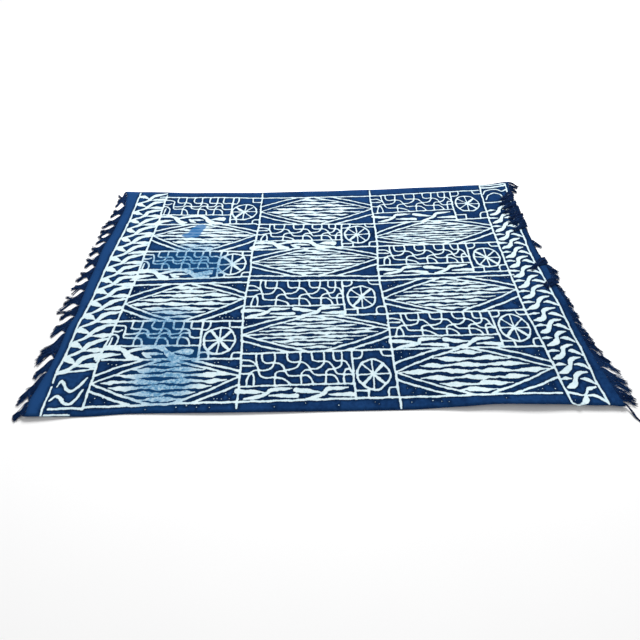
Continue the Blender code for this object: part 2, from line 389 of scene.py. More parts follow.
# %% [markdown]
# ## Drawing by hand
# Every pale mark on the cloth is a stroke: a line down its middle, and half its width along
# the way. A hand never draws a clean line, so two sine waves, a slow one and a quick one, push
# the line aside, and two more make it swell. `through` bends a smooth line through the places
# that a chart gives. Nothing is a picture: all of it is lines with a width.

# %% Smooth lines
LINE = 0.0036
FINE = 0.0032
DRAWN_STEP = 0.002


def through(places):
    """Points every couple of millimetres along a smooth curve through the given places."""
    gaps = [max((b - a).length, 1e-6) for a, b in zip(places, places[1:])]
    slopes = [(places[1] - places[0]) / gaps[0]]
    for index in range(1, len(places) - 1):
        back, ahead = gaps[index - 1], gaps[index]
        came = (places[index] - places[index - 1]) * (ahead / back)
        goes = (places[index + 1] - places[index]) * (back / ahead)
        slopes.append((came + goes) / (back + ahead))
    slopes.append((places[-1] - places[-2]) / gaps[-1])
    line = []
    for index, gap in enumerate(gaps):
        count = max(2, round(gap / DRAWN_STEP))
        for step in range(count):
            u = step / count
            start = places[index] * (2 * u ** 3 - 3 * u ** 2 + 1)
            start += slopes[index] * (gap * (u ** 3 - 2 * u ** 2 + u))
            end = places[index + 1] * (3 * u ** 2 - 2 * u ** 3)
            end += slopes[index + 1] * (gap * (u ** 3 - u ** 2))
            line.append(start + end)
    line.append(places[-1].copy())
    return line


print("a drawn line is", LINE * 2000, "mm wide")

# %% [markdown]
# `lay_stroke` shakes the places of a chart a little, as a hand does, and keeps the stroke in
# one list. A motif is charted in shares of its own block, and `draw` carries its strokes into
# the block's place on the cloth. The random numbers start from a fixed seed, so the cloth
# comes out the same each time.

# %% Strokes
HAND_SHAKE = 0.0010
STEADY_SHAKE = 0.0005
WAVE_SIZE = 0.0007
WIDTH_UNEVEN = 0.10
SLOW_WAVE, QUICK_WAVE, QUICK_WAVE_SHARE = 75.0, 190.0, 0.6
SLOW_SWELL, QUICK_SWELL, QUICK_SWELL_SHARE = 140.0, 310.0, 0.7
FULL_WAVE_POINTS = 40.0
Stroke = namedtuple("Stroke", "points halves")
strokes = []
hand = random.Random(21)


def width_at(halves, share):
    """Half a stroke's width at a share of its length, from widths spread evenly along it."""
    if len(halves) == 1:
        return halves[0]
    at = min(share * (len(halves) - 1), len(halves) - 1.0001)
    low = int(at)
    return halves[low] + (halves[low + 1] - halves[low]) * ease(at - low)


def lay_stroke(places, *halves, shake=HAND_SHAKE):
    """Add one stroke through places in metres, with half widths spread evenly along it."""
    places = [Vector((x + hand.gauss(0.0, shake), y + hand.gauss(0.0, shake))) for x, y in places]
    line = through(places)
    phases = [hand.uniform(0.0, math.tau) for _ in range(4)]
    wave_size = WAVE_SIZE * min(1.0, len(line) / FULL_WAVE_POINTS)
    points, widths = [], []
    for index, point in enumerate(line):
        after = line[min(index + 1, len(line) - 1)]
        before = line[max(index - 1, 0)]
        heading = (after - before).normalized()
        run = index * DRAWN_STEP
        wave = math.sin(run * SLOW_WAVE + phases[0])
        wave += QUICK_WAVE_SHARE * math.sin(run * QUICK_WAVE + phases[1])
        swell = math.sin(run * SLOW_SWELL + phases[2])
        swell += QUICK_SWELL_SHARE * math.sin(run * QUICK_SWELL + phases[3])
        sideways = Vector((-heading.y, heading.x))
        points.append(point + sideways * (wave * wave_size))
        widths.append(width_at(halves, index / (len(line) - 1)) * (1.0 + WIDTH_UNEVEN * swell))
    strokes.append(Stroke(points, widths))


def draw(place_of, chart, *halves, shake=HAND_SHAKE):
    """Add one charted stroke: place_of carries each pair of its chart to a place on the cloth."""
    lay_stroke([place_of(a, b) for a, b in chart], *halves, shake=shake)


def draw_all(place_of, charts):
    """Add several charted strokes, each with its own half widths."""
    for chart, halves in charts:
        draw(place_of, chart, *halves)


print("a hand shakes by about", HAND_SHAKE * 1000, "mm")

# %% [markdown]
# ## The ruled lines
# The dyer first rules the cloth: eight lines along it, two of them close together in the
# middle, and six across it. They make three columns of six blocks and a border at each end.
# The tables give each line as it lies on this cloth, a few millimetres off straight. The rows
# of the first column don't quite meet those of the second, so each is laid in two lengths.

# %% Tables of the ruled lines
LEFT_OUTER = line_table(
    (-0.543, -0.819), (-0.455, -0.826), (-0.392, -0.832), (-0.310, -0.826), (-0.204, -0.826),
    (-0.097, -0.816), (0.063, -0.814), (0.216, -0.802), (0.348, -0.796), (0.523, -0.797),
)
LEFT_INNER = line_table(
    (-0.507, -0.708), (-0.347, -0.715), (-0.192, -0.698), (-0.028, -0.685), (0.148, -0.683),
    (0.307, -0.671), (0.489, -0.673),
)
FIRST_LINE = line_table(
    (-0.501, -0.254), (-0.355, -0.257), (-0.202, -0.272), (-0.035, -0.266), (0.136, -0.262),
    (0.299, -0.250), (0.469, -0.249),
)
SECOND_LINE = line_table(
    (-0.494, 0.226), (-0.326, 0.224), (-0.182, 0.223), (-0.026, 0.214), (0.152, 0.225),
    (0.285, 0.226), (0.469, 0.225),
)
RIGHT_INNER = line_table(
    (-0.492, 0.721), (-0.324, 0.716), (-0.175, 0.701), (-0.013, 0.699), (0.162, 0.699),
    (0.310, 0.704), (0.498, 0.718),
)
RIGHT_OUTER = line_table(
    (-0.526, 0.827), (-0.470, 0.824), (-0.385, 0.829), (-0.293, 0.821), (-0.165, 0.821),
    (-0.081, 0.816), (0.074, 0.805), (0.237, 0.811), (0.532, 0.832),
)
COLUMN_LINES = (LEFT_INNER, FIRST_LINE, SECOND_LINE, RIGHT_INNER)
LINE_XS = (-0.690, -0.258, 0.224, 0.708)
Rule = namedtuple("Rule", "left first after second right")
ROW_RULES = (
    Rule(0.489, 0.469, 0.469, 0.469, 0.498),
    Rule(0.307, 0.299, 0.296, 0.285, 0.310),
    Rule(0.148, 0.137, 0.144, 0.152, 0.162),
    Rule(-0.003, 0.005, 0.006, -0.006, 0.007),
    Rule(-0.028, -0.025, -0.017, -0.026, -0.013),
    Rule(-0.192, -0.202, -0.188, -0.182, -0.175),
    Rule(-0.347, -0.351, -0.332, -0.326, -0.324),
    Rule(-0.507, -0.500, -0.498, -0.494, -0.492),
)
LEFT_ROW_LINES = [
    line_table((LINE_XS[0], rule.left), (LINE_XS[1], rule.first)) for rule in ROW_RULES
]
OTHER_ROW_LINES = [
    line_table((LINE_XS[1], rule.after), (LINE_XS[2], rule.second), (LINE_XS[3], rule.right))
    for rule in ROW_RULES
]
BLOCK_ROWS = ((0, 1), (1, 2), (2, 3), (4, 5), (5, 6), (6, 7))
print("rows of blocks:", len(BLOCK_ROWS), "columns:", len(COLUMN_LINES) - 1)

# %% [markdown]
# A ruled line is laid as one long stroke through places that lie about 9 cm apart, so it stays
# nearly straight and still trembles. Between two knots the line is straight. `block_place`
# turns the lines round a block into a function from shares of the block to the cloth.

# %% Lay the ruled lines
RULE_STEP = 0.09
LEFT_RULE_XS = (-0.703, -0.560, -0.430, -0.262)
OTHER_RULE_XS = (-0.258, -0.100, 0.070, 0.224, 0.380, 0.540, 0.708)
RULES_ACROSS = (
    (LEFT_OUTER, -0.545, -0.440, 0.0030), (LEFT_OUTER, -0.425, -0.398, 0.0026),
    (LEFT_OUTER, -0.390, 0.524, LINE), (LEFT_INNER, -0.512, 0.500, LINE),
    (FIRST_LINE, -0.522, 0.500, 0.0036), (SECOND_LINE, -0.528, 0.508, 0.0037),
    (RIGHT_INNER, -0.520, 0.530, 0.0038), (RIGHT_OUTER, -0.530, 0.531, LINE),
)


def straight_between(knots, run):
    """Place of a ruled line at a run. Past its ends it goes on as it was."""
    for low, high in zip(knots, knots[1:]):
        if run <= high.run:
            break
    return low.place + (high.place - low.place) * (run - low.run) / (high.run - low.run)


for line, front, back, half_width in RULES_ACROSS:
    count = max(2, round((back - front) / RULE_STEP))
    ys = [front + (back - front) * step / count for step in range(count + 1)]
    lay_stroke([(straight_between(line, y), y) for y in ys], half_width)
for row_lines, xs in ((LEFT_ROW_LINES, LEFT_RULE_XS), (OTHER_ROW_LINES, OTHER_RULE_XS)):
    for line in row_lines:
        lay_stroke([(x, straight_between(line, x)) for x in xs], LINE)


def block_place(row, column):
    """A function from shares of a block, left to right and front to back, to the cloth."""
    row_lines = OTHER_ROW_LINES if column else LEFT_ROW_LINES
    back_line, front_line = (row_lines[index] for index in BLOCK_ROWS[row])
    left_line, right_line = COLUMN_LINES[column], COLUMN_LINES[column + 1]

    def place_of(s, t):
        # Each line's place hangs on the other one's, so three rounds settle the two.
        x, y = 0.0, 0.0
        for _ in range(3):
            left_x, right_x = straight_between(left_line, y), straight_between(right_line, y)
            x = left_x + s * (right_x - left_x)
            front_y, back_y = straight_between(front_line, x), straight_between(back_line, x)
            y = front_y + t * (back_y - front_y)
        return x, y

    return place_of


print("ruled lines:", len(strokes))

# %% [markdown]
# ## The maze block
# Half of the blocks hold a maze over a braid, with a wheel in a box at their right. The maze
# is one group of three strokes, a stepped line, a hooked drop and a small arch, repeated four
# times, and squeezed the last time. So the group is charted once, and the loop shifts it.
# The dyer drew it rounder in two columns and squarer in the left one, so there are two charts.
# Their heights run from 0 at the line between braid and maze to 1 at the block's back line.

# %% Charts of the maze
MazeUnit = namedtuple("MazeUnit", "start stretch")
MAZE_UNITS = (MazeUnit(0.135, 1.0), MazeUnit(0.304, 0.98), MazeUnit(0.466, 0.92), MazeUnit(0.607, 0.66))
ROUND_STARTS = (
    (
        (0, 0.792), (0.056, 0.777), (0.091, 0.688), (0.108, 0.586), (0.119, 0.422), (0.133, 0.281),
        (0.161, 0.247), (0.231, 0.236), (0.273, 0.184), (0.308, 0.1), (0.325, 0),
    ),
    ((0, 0.62), (0.084, 0.609)),
    ((0, 0.383), (0.048, 0.375), (0.066, 0.403), (0.084, 0.445), (0.125, 0.469)),
    ((0.098, 1), (0.098, 0.766), (0.104, 0.641)),
    ((0.045, 0), (0.05, 0.219), (0.061, 0.336), (0.078, 0.367), (0.089, 0.289), (0.093, 0)),
)
ROUND_UNIT = (
    (
        (0, 1), (0.001, 0.812), (0.006, 0.734), (0.02, 0.7), (0.085, 0.692), (0.118, 0.656),
        (0.142, 0.547), (0.158, 0.391), (0.175, 0.294), (0.2, 0.273), (0.265, 0.281), (0.297, 0.258),
        (0.32, 0.172), (0.331, 0.063), (0.335, 0),
    ),
    ((0.087, 1), (0.086, 0.781), (0.079, 0.641), (0.062, 0.531), (0.033, 0.472), (-0.015, 0.461)),
    ((0.09, 0), (0.091, 0.234), (0.098, 0.375), (0.116, 0.43), (0.146, 0.438)),
)
SQUARE_STARTS = (
    (
        (0, 0.832), (0.06, 0.817), (0.082, 0.798), (0.093, 0.748), (0.099, 0.603), (0.104, 0.42),
        (0.11, 0.351), (0.125, 0.331), (0.215, 0.31), (0.243, 0.26), (0.26, 0.153), (0.267, 0),
    ),
    ((0, 0.595), (0.05, 0.58), (0.075, 0.641)),
    ((0, 0.458), (0.04, 0.443), (0.066, 0.351), (0.078, 0.206), (0.07, 0)),
    ((0.028, 0.328), (0.026, 0.176), (0.024, 0)),
)
SQUARE_UNIT = (
    (
        (0, 1), (0, 0.771), (0.005, 0.702), (0.022, 0.675), (0.1, 0.675), (0.128, 0.652),
        (0.145, 0.588), (0.152, 0.45), (0.157, 0.366), (0.172, 0.328), (0.255, 0.322), (0.29, 0.298),
        (0.308, 0.221), (0.318, 0.115), (0.322, 0),
    ),
    ((0.08, 1), (0.08, 0.679), (0.076, 0.565), (0.062, 0.489), (0.04, 0.469), (-0.028, 0.469)),
    ((0.068, 0), (0.068, 0.298), (0.074, 0.42), (0.09, 0.489), (0.115, 0.504), (0.152, 0.496)),
)
print("strokes of one maze:", len(ROUND_STARTS) + len(MAZE_UNITS) * len(ROUND_UNIT))

# %% [markdown]
# The braid is two crossings of thick strands with lenses between them. In some blocks its
# strands rise to the right and in others they fall. Each row of a table is the strand's way,
# from 0 at the block's front line to 1 at the line under the maze, and its half widths.

# %% Charts of the braid
RISING_BRAID = (
    (((-0.005, 0.653), (0.08, 0.597), (0.175, 0.514)), (0.0077, 0.0069, 0.0016)),
    (
        (
            (0.04, 0.139), (0.1, 0.236), (0.155, 0.361), (0.185, 0.514), (0.195, 0.667),
            (0.25, 0.744), (0.335, 0.778),
        ),
        (0.0032, 0.0058, 0.0065, 0.0058, 0.0072, 0.0056, 0.0023),
    ),
    (((0.195, 0.319), (0.29, 0.292), (0.367, 0.244)), (0.0028, 0.0062, 0.0074)),
    (((0.362, 0.683), (0.44, 0.569), (0.53, 0.483)), (0.0086, 0.0072, 0.0016)),
    (
        ((0.43, 0.083), (0.5, 0.244), (0.54, 0.444), (0.556, 0.644), (0.62, 0.7), (0.69, 0.767)),
        (0.0026, 0.0056, 0.0065, 0.0072, 0.0056, 0.0026),
    ),
    (((0.568, 0.292), (0.655, 0.289), (0.728, 0.244)), (0.0026, 0.0063, 0.0076)),
)
FALLING_BRAID = (
    (
        ((0.01, 0.823), (0.114, 0.803), (0.16, 0.71), (0.183, 0.522), (0.217, 0.243), (0.285, 0.151)),
        (0.0062, 0.0066, 0.0068, 0.0082, 0.0104, 0.0056),
    ),
    (((-0.015, 0.188), (0.046, 0.319), (0.148, 0.429)), (0.0110, 0.0080, 0.0018)),
    (
        (
            (0.19, 0.594), (0.285, 0.786), (0.354, 0.878), (0.434, 0.823), (0.479, 0.655),
            (0.514, 0.374), (0.571, 0.13), (0.662, 0.093),
        ),
        (0.0048, 0.0060, 0.0066, 0.0068, 0.0080, 0.0098, 0.0096, 0.0034),
    ),
    (((0.308, 0.478), (0.35, 0.261), (0.382, 0.188)), (0.0046, 0.0064, 0.0034)),
    (((0.33, 0.464), (0.41, 0.435), (0.462, 0.412)), (0.0038, 0.0054, 0.0022)),
    (((0.535, 0.504), (0.616, 0.58), (0.668, 0.562)), (0.0014, 0.0084, 0.0126)),
)
print("strands of one braid:", len(RISING_BRAID))

# %% [markdown]
# The wheel sits in a box at the right of its block. The corners of the box hold small hooks,
# which end on its sides. They are charted in shares of the box, rounder or squarer as the
# maze beside them.

# %% Charts of the hooks
ROUND_HOOKS = (
    ((0.25, 1.0), (0.25, 0.90), (0.20, 0.845), (0.11, 0.82), (0.0, 0.82)),
    ((0.70, 1.0), (0.73, 0.905), (0.76, 0.868), (0.83, 0.862), (1.0, 0.86)),
    ((0.0, 0.155), (0.32, 0.15)), ((0.31, 0.155), (0.30, 0.0)),
    ((0.78, 0.0), (0.78, 0.13), (0.81, 0.185), (0.87, 0.20), (1.0, 0.205)),
)
SQUARE_HOOKS = (
    ((0.185, 1.0), (0.18, 0.84), (0.14, 0.775), (0.0, 0.76)), ((0.68, 1.0), (0.70, 0.84)),
    ((0.74, 0.83), (1.0, 0.83)), ((0.0, 0.16), (0.18, 0.16), (0.215, 0.125), (0.225, 0.0)),
    ((0.77, 0.0), (0.77, 0.10), (0.80, 0.145), (0.86, 0.155), (1.0, 0.15)),
)
print("hooks round one wheel:", len(ROUND_HOOKS))

# %% [markdown]
# The charts are carried to a block through its own `place_of`: a maze fills the part above its
# braid, and a braid is stretched to the box of the wheel. The units of a maze are cut at the
# box's line, so that none of its strokes runs into the wheel.

# %% Draw the maze and the braid
BOX_START = 0.735
CUT_SHORT = 0.012


def cut_at(chart, unit, box_start):
    """A unit's chart at its place in the block, cut at the line of the wheel's box."""
    moved = [(unit.start + s * unit.stretch, t) for s, t in chart]
    kept = [pair for pair in moved if pair[0] < box_start - CUT_SHORT]
    if kept and len(kept) < len(moved):
        kept.append((box_start, moved[len(kept)][1]))
    return kept


def draw_maze(place_of, block):
    def in_maze(s, t):
        return place_of(s, block.braid_top + t * (1.0 - block.braid_top))

    starts, group = (ROUND_STARTS, ROUND_UNIT) if block.column else (SQUARE_STARTS, SQUARE_UNIT)
    units = [(unit, chart) for unit in MAZE_UNITS for chart in group]
    if not block.column:
        # The last unit of the square maze has room for its stepped line alone.
        units = units[:1 - len(group)]
    charts = [cut_at(chart, unit, block.box_start) for unit, chart in units]
    for chart in [*starts, *charts]:
        if len(chart) > 1:
            draw(in_maze, chart, FINE, shake=STEADY_SHAKE)


def draw_braid(place_of, block):
    def in_braid(s, t):
        return place_of(s * block.box_start / BOX_START, t * block.braid_top)

    falls = block.column == 0 or block.row == 1
    draw_all(in_braid, FALLING_BRAID if falls else RISING_BRAID)


print("strokes of one maze end", CUT_SHORT, "of the block before the box")

# %% [markdown]
# A wheel is a rim drawn once round, with the shake of a hand, and eight spokes, some of them
# bold. A pen stroke that goes round would be a circle primitive elsewhere. Here it is sixteen
# places on a circle that `lay_stroke` joins, so it wobbles like every other line.

# %% Draw the wheel
RIM_PLACES = 16
RIM_START = 0.3
RIM_HALVES = (0.0030, 0.0040, 0.0031)
RIM_SHAKE = 0.0011
SPOKES = 8
SPOKE_ASTRAY = 0.04
SPOKE_HALF = 0.0028
BOLD_HALVES = (0.0032, 0.0054, 0.0045)
BOLD_REACH = 0.93


def draw_wheel(place_of, block):
    """The box at the block's right: a wheel with eight spokes, and a hook in each corner."""
    def in_box(u, t):
        return place_of(block.box_start + u * (1.0 - block.box_start), t)

    top, wall = block.braid_top, block.box_start
    draw(place_of, ((wall, 0.0), (wall - 0.004, 0.5), (wall, 1.0)), LINE)
    draw(place_of, ((0.0, top), (0.25, top + 0.005), (0.5, top), (wall, top)), FINE)
    centre = Vector(place_of(block.hub, block.hub_rise))
    rim = []
    for step in range(RIM_PLACES + 1):
        angle = math.tau * step / RIM_PLACES + RIM_START
        x = centre.x + block.size_x * math.cos(angle)
        y = centre.y + block.size_y * math.sin(angle)
        rim.append((x, y))
    lay_stroke(rim, *RIM_HALVES, shake=RIM_SHAKE)
    for spoke in range(SPOKES):
        angle = math.tau * spoke / SPOKES + hand.gauss(0.0, SPOKE_ASTRAY)
        along = Vector((block.size_x * math.cos(angle), block.size_y * math.sin(angle)))
        if spoke in block.bold:
            lay_stroke([centre, centre + along * 0.5, centre + along * BOLD_REACH], *BOLD_HALVES)
        else:
            lay_stroke([centre, centre + along], SPOKE_HALF)
    for hook in ROUND_HOOKS if block.column else SQUARE_HOOKS:
        draw(in_box, hook, FINE, shake=STEADY_SHAKE)


print("a wheel has", SPOKES, "spokes")

# %% [markdown]
# ## The diamond block
# The other blocks hold a long diamond, ruled twice, and filled with wavy bands like wood
# grain. Each band waves against its neighbours, so that the dark gaps between them open and
# close like long lenses, one set between the other. The bands taper to the diamond's sides.

# %% Sides of the diamond
Diamond = namedtuple("Diamond", "row column left right rows")
DIAMONDS = (
    Diamond(0, 1, 0.47, 0.53, 8), Diamond(1, 0, 0.56, 0.58, 8), Diamond(1, 2, 0.40, 0.57, 9),
    Diamond(2, 1, 0.50, 0.58, 9), Diamond(3, 0, 0.46, 0.58, 8), Diamond(3, 2, 0.44, 0.56, 9),
    Diamond(4, 1, 0.50, 0.54, 9), Diamond(5, 0, 0.48, 0.58, 7), Diamond(5, 2, 0.50, 0.52, 7),
)
Side = namedtuple("Side", "start way peak outer_peak gap")
SIDES = (
    Side(start=0.0, way=1.0, peak=0.440, outer_peak=0.31, gap=0.180),
    Side(start=1.0, way=1.0, peak=0.510, outer_peak=0.66, gap=0.125),
    Side(start=0.0, way=-1.0, peak=0.430, outer_peak=0.32, gap=0.155),
    Side(start=1.0, way=-1.0, peak=0.555, outer_peak=0.68, gap=0.190),
)
SIDE_ASTRAY = 0.015


def slope_ends(diamond, t):
    """Where the diamond's two sides are at a height of the block."""
    ends = []
    for start, begin in ((0.0, diamond.left), (1.0, diamond.right)):
        way = 1.0 if t > begin else -1.0
        side = next(side for side in SIDES if side.start == start and side.way == way)
        inward = (t - begin) * way / (1.0 - begin if way > 0 else begin) * abs(side.peak - start)
        ends.append(1.0 - inward if start else inward)
    return ends


def draw_sides(place_of, diamond):
    """Four sides, each a line and a second one outside it that closes in on it."""
    for side in SIDES:
        begin = diamond.left if side.start == 0.0 else diamond.right
        end = 1.0 if side.way > 0 else 0.0
        off = hand.uniform(-SIDE_ASTRAY, SIDE_ASTRAY)
        middle = ((side.start + side.peak + off) / 2.0, (begin + end) / 2.0 + 0.015 * side.way)
        peak = (side.peak + off, end - 0.02 * side.way)
        draw(place_of, ((side.start, begin), middle, peak), 0.0030, LINE, 0.0040)
        outer = begin + side.gap * side.way
        middle = ((side.start + side.outer_peak + off) / 2.0, (outer + end) / 2.0 + 0.01 * side.way)
        peak = (side.outer_peak + off, end - 0.01 * side.way)
        draw(place_of, ((side.start, outer), middle, peak), LINE, 0.0038)


print("diamonds:", len(DIAMONDS), "with", 2 * len(SIDES), "side lines each")

# %% [markdown]
# A band runs from side to side at one height. Its width follows a cosine, and the next band
# starts half a period on, so the two are wide and narrow in turn. Small random numbers on the
# place and the width keep the bands from looking printed.

# %% Grain of the diamond
GRAIN_LOW = 0.115
GRAIN_HIGH = 0.885
GRAIN_PERIOD = 0.25
GRAIN_HALVES = (0.310, 0.300, 0.290)
GRAIN_SWELL = 0.130
GRAIN_TIP = 0.0016
GRAIN_STEP = 0.03
TAPER_STEPS = 2.6


def draw_grain(place_of, diamond):
    """Bands from side to side. Neighbours swell in turn, so their gaps look like lenses."""
    height = place_of(0.5, 1.0)[1] - place_of(0.5, 0.0)[1]
    step_t = (GRAIN_HIGH - GRAIN_LOW) / (diamond.rows - 1)
    pitch = step_t * height
    period = GRAIN_PERIOD * hand.uniform(0.85, 1.15)
    grain_half = GRAIN_HALVES[diamond.column]
    for row in range(diamond.rows):
        t = GRAIN_LOW + step_t * row
        left, right = slope_ends(diamond, t)
        left, right = left + hand.uniform(0.02, 0.05), right - hand.uniform(0.005, 0.06)
        phase = math.pi * row + hand.uniform(-0.9, 0.9)
        bow = hand.uniform(0.0, 0.03) * (1.0 if t > 0.5 else -1.0)
        steps = max(5, round((right - left) / GRAIN_STEP))
        chart, halves = [], []
        for step in range(steps + 1):
            s = left + (right - left) * step / steps
            turn = math.tau * s / period + phase
            wave = step_t * (0.07 * math.sin(turn * 0.7 + row) + hand.uniform(-0.07, 0.07))
            chart.append((s, t + wave + bow * (0.5 - abs(s - 0.5))))
            taper = ease(min(step, steps - step) / TAPER_STEPS)
            wide = grain_half + GRAIN_SWELL * math.cos(turn) + hand.uniform(-0.035, 0.035)
            halves.append(GRAIN_TIP + (pitch * wide - GRAIN_TIP) * taper)
        draw(place_of, chart, *halves, shake=STEADY_SHAKE)


print("bands in all the diamonds:", sum(diamond.rows for diamond in DIAMONDS))

# %% [markdown]
# ## Filling the blocks
# Maze and diamond take turns over the cloth. No two mazes are alike, so a table gives each its
# box, the height of its braid, its wheel's hub and size, and which of its spokes are bold.

# %% Fill the blocks
MazeBlock = namedtuple("MazeBlock", "row column box_start braid_top hub hub_rise size_x size_y bold")
MAZE_BLOCKS = (
    MazeBlock(0, 0, 0.706, 0.335, 0.836, 0.45, 0.0520, 0.0500, (3, 5)),
    MazeBlock(0, 2, 0.722, 0.360, 0.848, 0.53, 0.0500, 0.0510, (1, 7)),
    MazeBlock(1, 1, 0.718, 0.320, 0.845, 0.53, 0.0495, 0.0505, (5,)),
    MazeBlock(2, 0, 0.712, 0.335, 0.828, 0.49, 0.0530, 0.0540, (1, 3, 7)),
    MazeBlock(2, 2, 0.735, 0.340, 0.866, 0.48, 0.0495, 0.0505, (3, 7)),
    MazeBlock(3, 1, 0.716, 0.285, 0.846, 0.49, 0.0500, 0.0520, (1, 5)),
    MazeBlock(4, 0, 0.698, 0.345, 0.836, 0.48, 0.0525, 0.0525, (1, 3, 5, 7)),
    MazeBlock(4, 2, 0.735, 0.335, 0.862, 0.51, 0.0500, 0.0530, (5, 7)),
    MazeBlock(5, 1, 0.732, 0.295, 0.858, 0.48, 0.0507, 0.0515, (1, 5, 7)),
)
for block in MAZE_BLOCKS:
    place_of = block_place(block.row, block.column)
    draw_maze(place_of, block)
    draw_braid(place_of, block)
    draw_wheel(place_of, block)
for diamond in DIAMONDS:
    place_of = block_place(diamond.row, diamond.column)
    draw_sides(place_of, diamond)
    draw_grain(place_of, diamond)
print("strokes in blocks and rules:", len(strokes))

# %% [markdown]
# ## The two borders
# A border is one zigzag unit repeated up the end of the cloth. At the left each unit is a
# wedge, a long wave and a lens. At the right it is a swollen wave with a lens on both sides.
# `border_place` measures across the border in shares and along it in metres.

# %% Border units
def border_place(left_line, right_line, low):
    """A function from a share across a border, and a rise in metres, to the cloth."""
    def place_of(share, rise):
        y = low + rise
        left_x, right_x = straight_between(left_line, y), straight_between(right_line, y)
        return left_x + share * (right_x - left_x), y

    return place_of


LEFT_LOWS = [-0.384 + 0.0572 * unit for unit in range(6)]
LEFT_LOWS += [-0.098 + 0.0550 * unit for unit in range(1, 11)]
RIGHT_LOWS = [-0.474 + 0.0500 * unit for unit in range(17)]
LEFT_UNIT = (
    (
        (
            (0.05, -0.003), (0.25, 0.006), (0.39, 0.017), (0.46, 0.030), (0.53, 0.043),
            (0.66, 0.053), (0.85, 0.058), (0.98, 0.062),
        ),
        (0.0022, 0.0050, 0.0062, 0.0080, 0.0092, 0.0082, 0.0060, 0.0038),
    ),
    (((0.11, 0.044), (0.20, 0.040), (0.29, 0.034), (0.38, 0.028)), (0.0120, 0.0094, 0.0056, 0.0012)),
    (((0.48, 0.017), (0.66, 0.020), (0.85, 0.020), (0.98, 0.020)), (0.0020, 0.0060, 0.0088, 0.0070)),
)
RIGHT_UNIT = (
    (
        (
            (0.10, 0.001), (0.22, 0.005), (0.36, 0.011), (0.45, 0.025), (0.51, 0.040),
            (0.64, 0.049), (0.84, 0.053),
        ),
        (0.0038, 0.0084, 0.0088, 0.0066, 0.0072, 0.0060, 0.0025),
    ),
    (((0.04, 0.029), (0.19, 0.032), (0.35, 0.030)), (0.0031, 0.0055, 0.0021)),
    (((0.60, 0.029), (0.71, 0.030), (0.85, 0.023), (0.97, 0.011)), (0.0024, 0.0068, 0.0055, 0.0026)),
)
for low in LEFT_LOWS:
    draw_all(border_place(LEFT_OUTER, LEFT_INNER, low), LEFT_UNIT)
for low in RIGHT_LOWS:
    draw_all(border_place(RIGHT_INNER, RIGHT_OUTER, low), RIGHT_UNIT)
print("strokes with borders:", len(strokes))

# %% [markdown]
# ## The corners and the dots
# Three corners were finished freely, with squiggles and bars in place of the zigzag. They are
# charted like a border unit, across the border in shares and along it in metres.

# %% Corners
FRONT_LEFT = (
    (((0.02, 0.104), (0.35, 0.113), (0.70, 0.118), (0.98, 0.122)), (0.0040, 0.0034)),
    (
        (
            (0.14, 0.060), (0.22, 0.082), (0.31, 0.075), (0.42, 0.050), (0.57, 0.045),
            (0.70, 0.060), (0.86, 0.092),
        ),
        (0.0024, 0.0042, 0.0048, 0.0046, 0.0048, 0.0046, 0.0030),
    ),
    (
        (
            (0.10, 0.015), (0.22, 0.030), (0.31, 0.025), (0.48, 0.006), (0.62, 0.004),
            (0.75, 0.020), (0.84, 0.050),
        ),
        (0.0030, 0.0046, 0.0048, 0.0046, 0.0046, 0.0046, 0.0030),
    ),
    (((0.14, -0.0135), (0.50, -0.012), (0.94, -0.011)), (0.0036,)),
    (((0.10, -0.0325), (0.40, -0.031), (0.72, -0.0295)), (0.0030,)),
)
FRONT_RIGHT = (
    (((0.0, 0.0), (0.12, -0.004), (0.30, 0.002), (0.46, 0.016)), (0.0036, 0.0050, 0.0085)),
    (((0.02, 0.040), (0.22, 0.034), (0.42, 0.028), (0.60, 0.042)), (0.0044, 0.0050, 0.0026, 0.0024)),
    (((0.44, 0.018), (0.54, 0.034), (0.66, 0.050), (0.92, 0.056)), (0.0024, 0.0030, 0.0060, 0.0028)),
    (((0.50, 0.026), (0.66, 0.028), (0.82, 0.022), (0.96, 0.002)), (0.0024, 0.0060, 0.0052, 0.0030)),
)
BACK_RIGHT = (
    (((0.02, 0.008), (0.50, 0.010), (0.95, 0.014)), (0.0036,)),
    (((0.12, 0.030), (0.26, 0.060), (0.46, 0.072), (0.66, 0.060), (0.80, 0.034)), (0.0032,)),
    (
        ((0.05, 0.066), (0.18, 0.090), (0.40, 0.098), (0.62, 0.092), (0.78, 0.080), (0.92, 0.088)),
        (0.0036,),
    ),
    (((0.06, 0.113), (0.50, 0.114), (0.94, 0.116)), (0.0048,)),
    (((0.02, 0.128), (0.50, 0.128), (0.94, 0.129)), (0.0040,)),
)
draw_all(border_place(LEFT_OUTER, LEFT_INNER, -0.500), FRONT_LEFT)
draw_all(border_place(RIGHT_INNER, RIGHT_OUTER, -0.530), FRONT_RIGHT)
draw_all(border_place(RIGHT_INNER, RIGHT_OUTER, 0.400), BACK_RIGHT)
print("strokes with corners:", len(strokes))

# %% [markdown]
# Tiny dots, single stitches, fill the dark triangles of the lower blocks and the front margin.
# A dot is a stroke too, so short that it comes out round. Most are faint on the real cloth, so
# fewer than half of them are laid.

# %% Dots
DOT_HALF = 0.0012
DOT_LONG = 0.0006
DOT_CHANCE = 0.42
DOT_LINES = ((0.09, 7), (0.18, 5))
DOT_STEP = 0.026
FIRST_DOTTED_ROW = 3
MARGIN_DOTS = 16
MARGIN_Y = -0.512


def lay_dot(x, y):
    half_width = DOT_HALF * hand.uniform(0.7, 1.15)
    strokes.append(Stroke([Vector((x, y)), Vector((x + DOT_LONG, y))], [half_width] * 2))


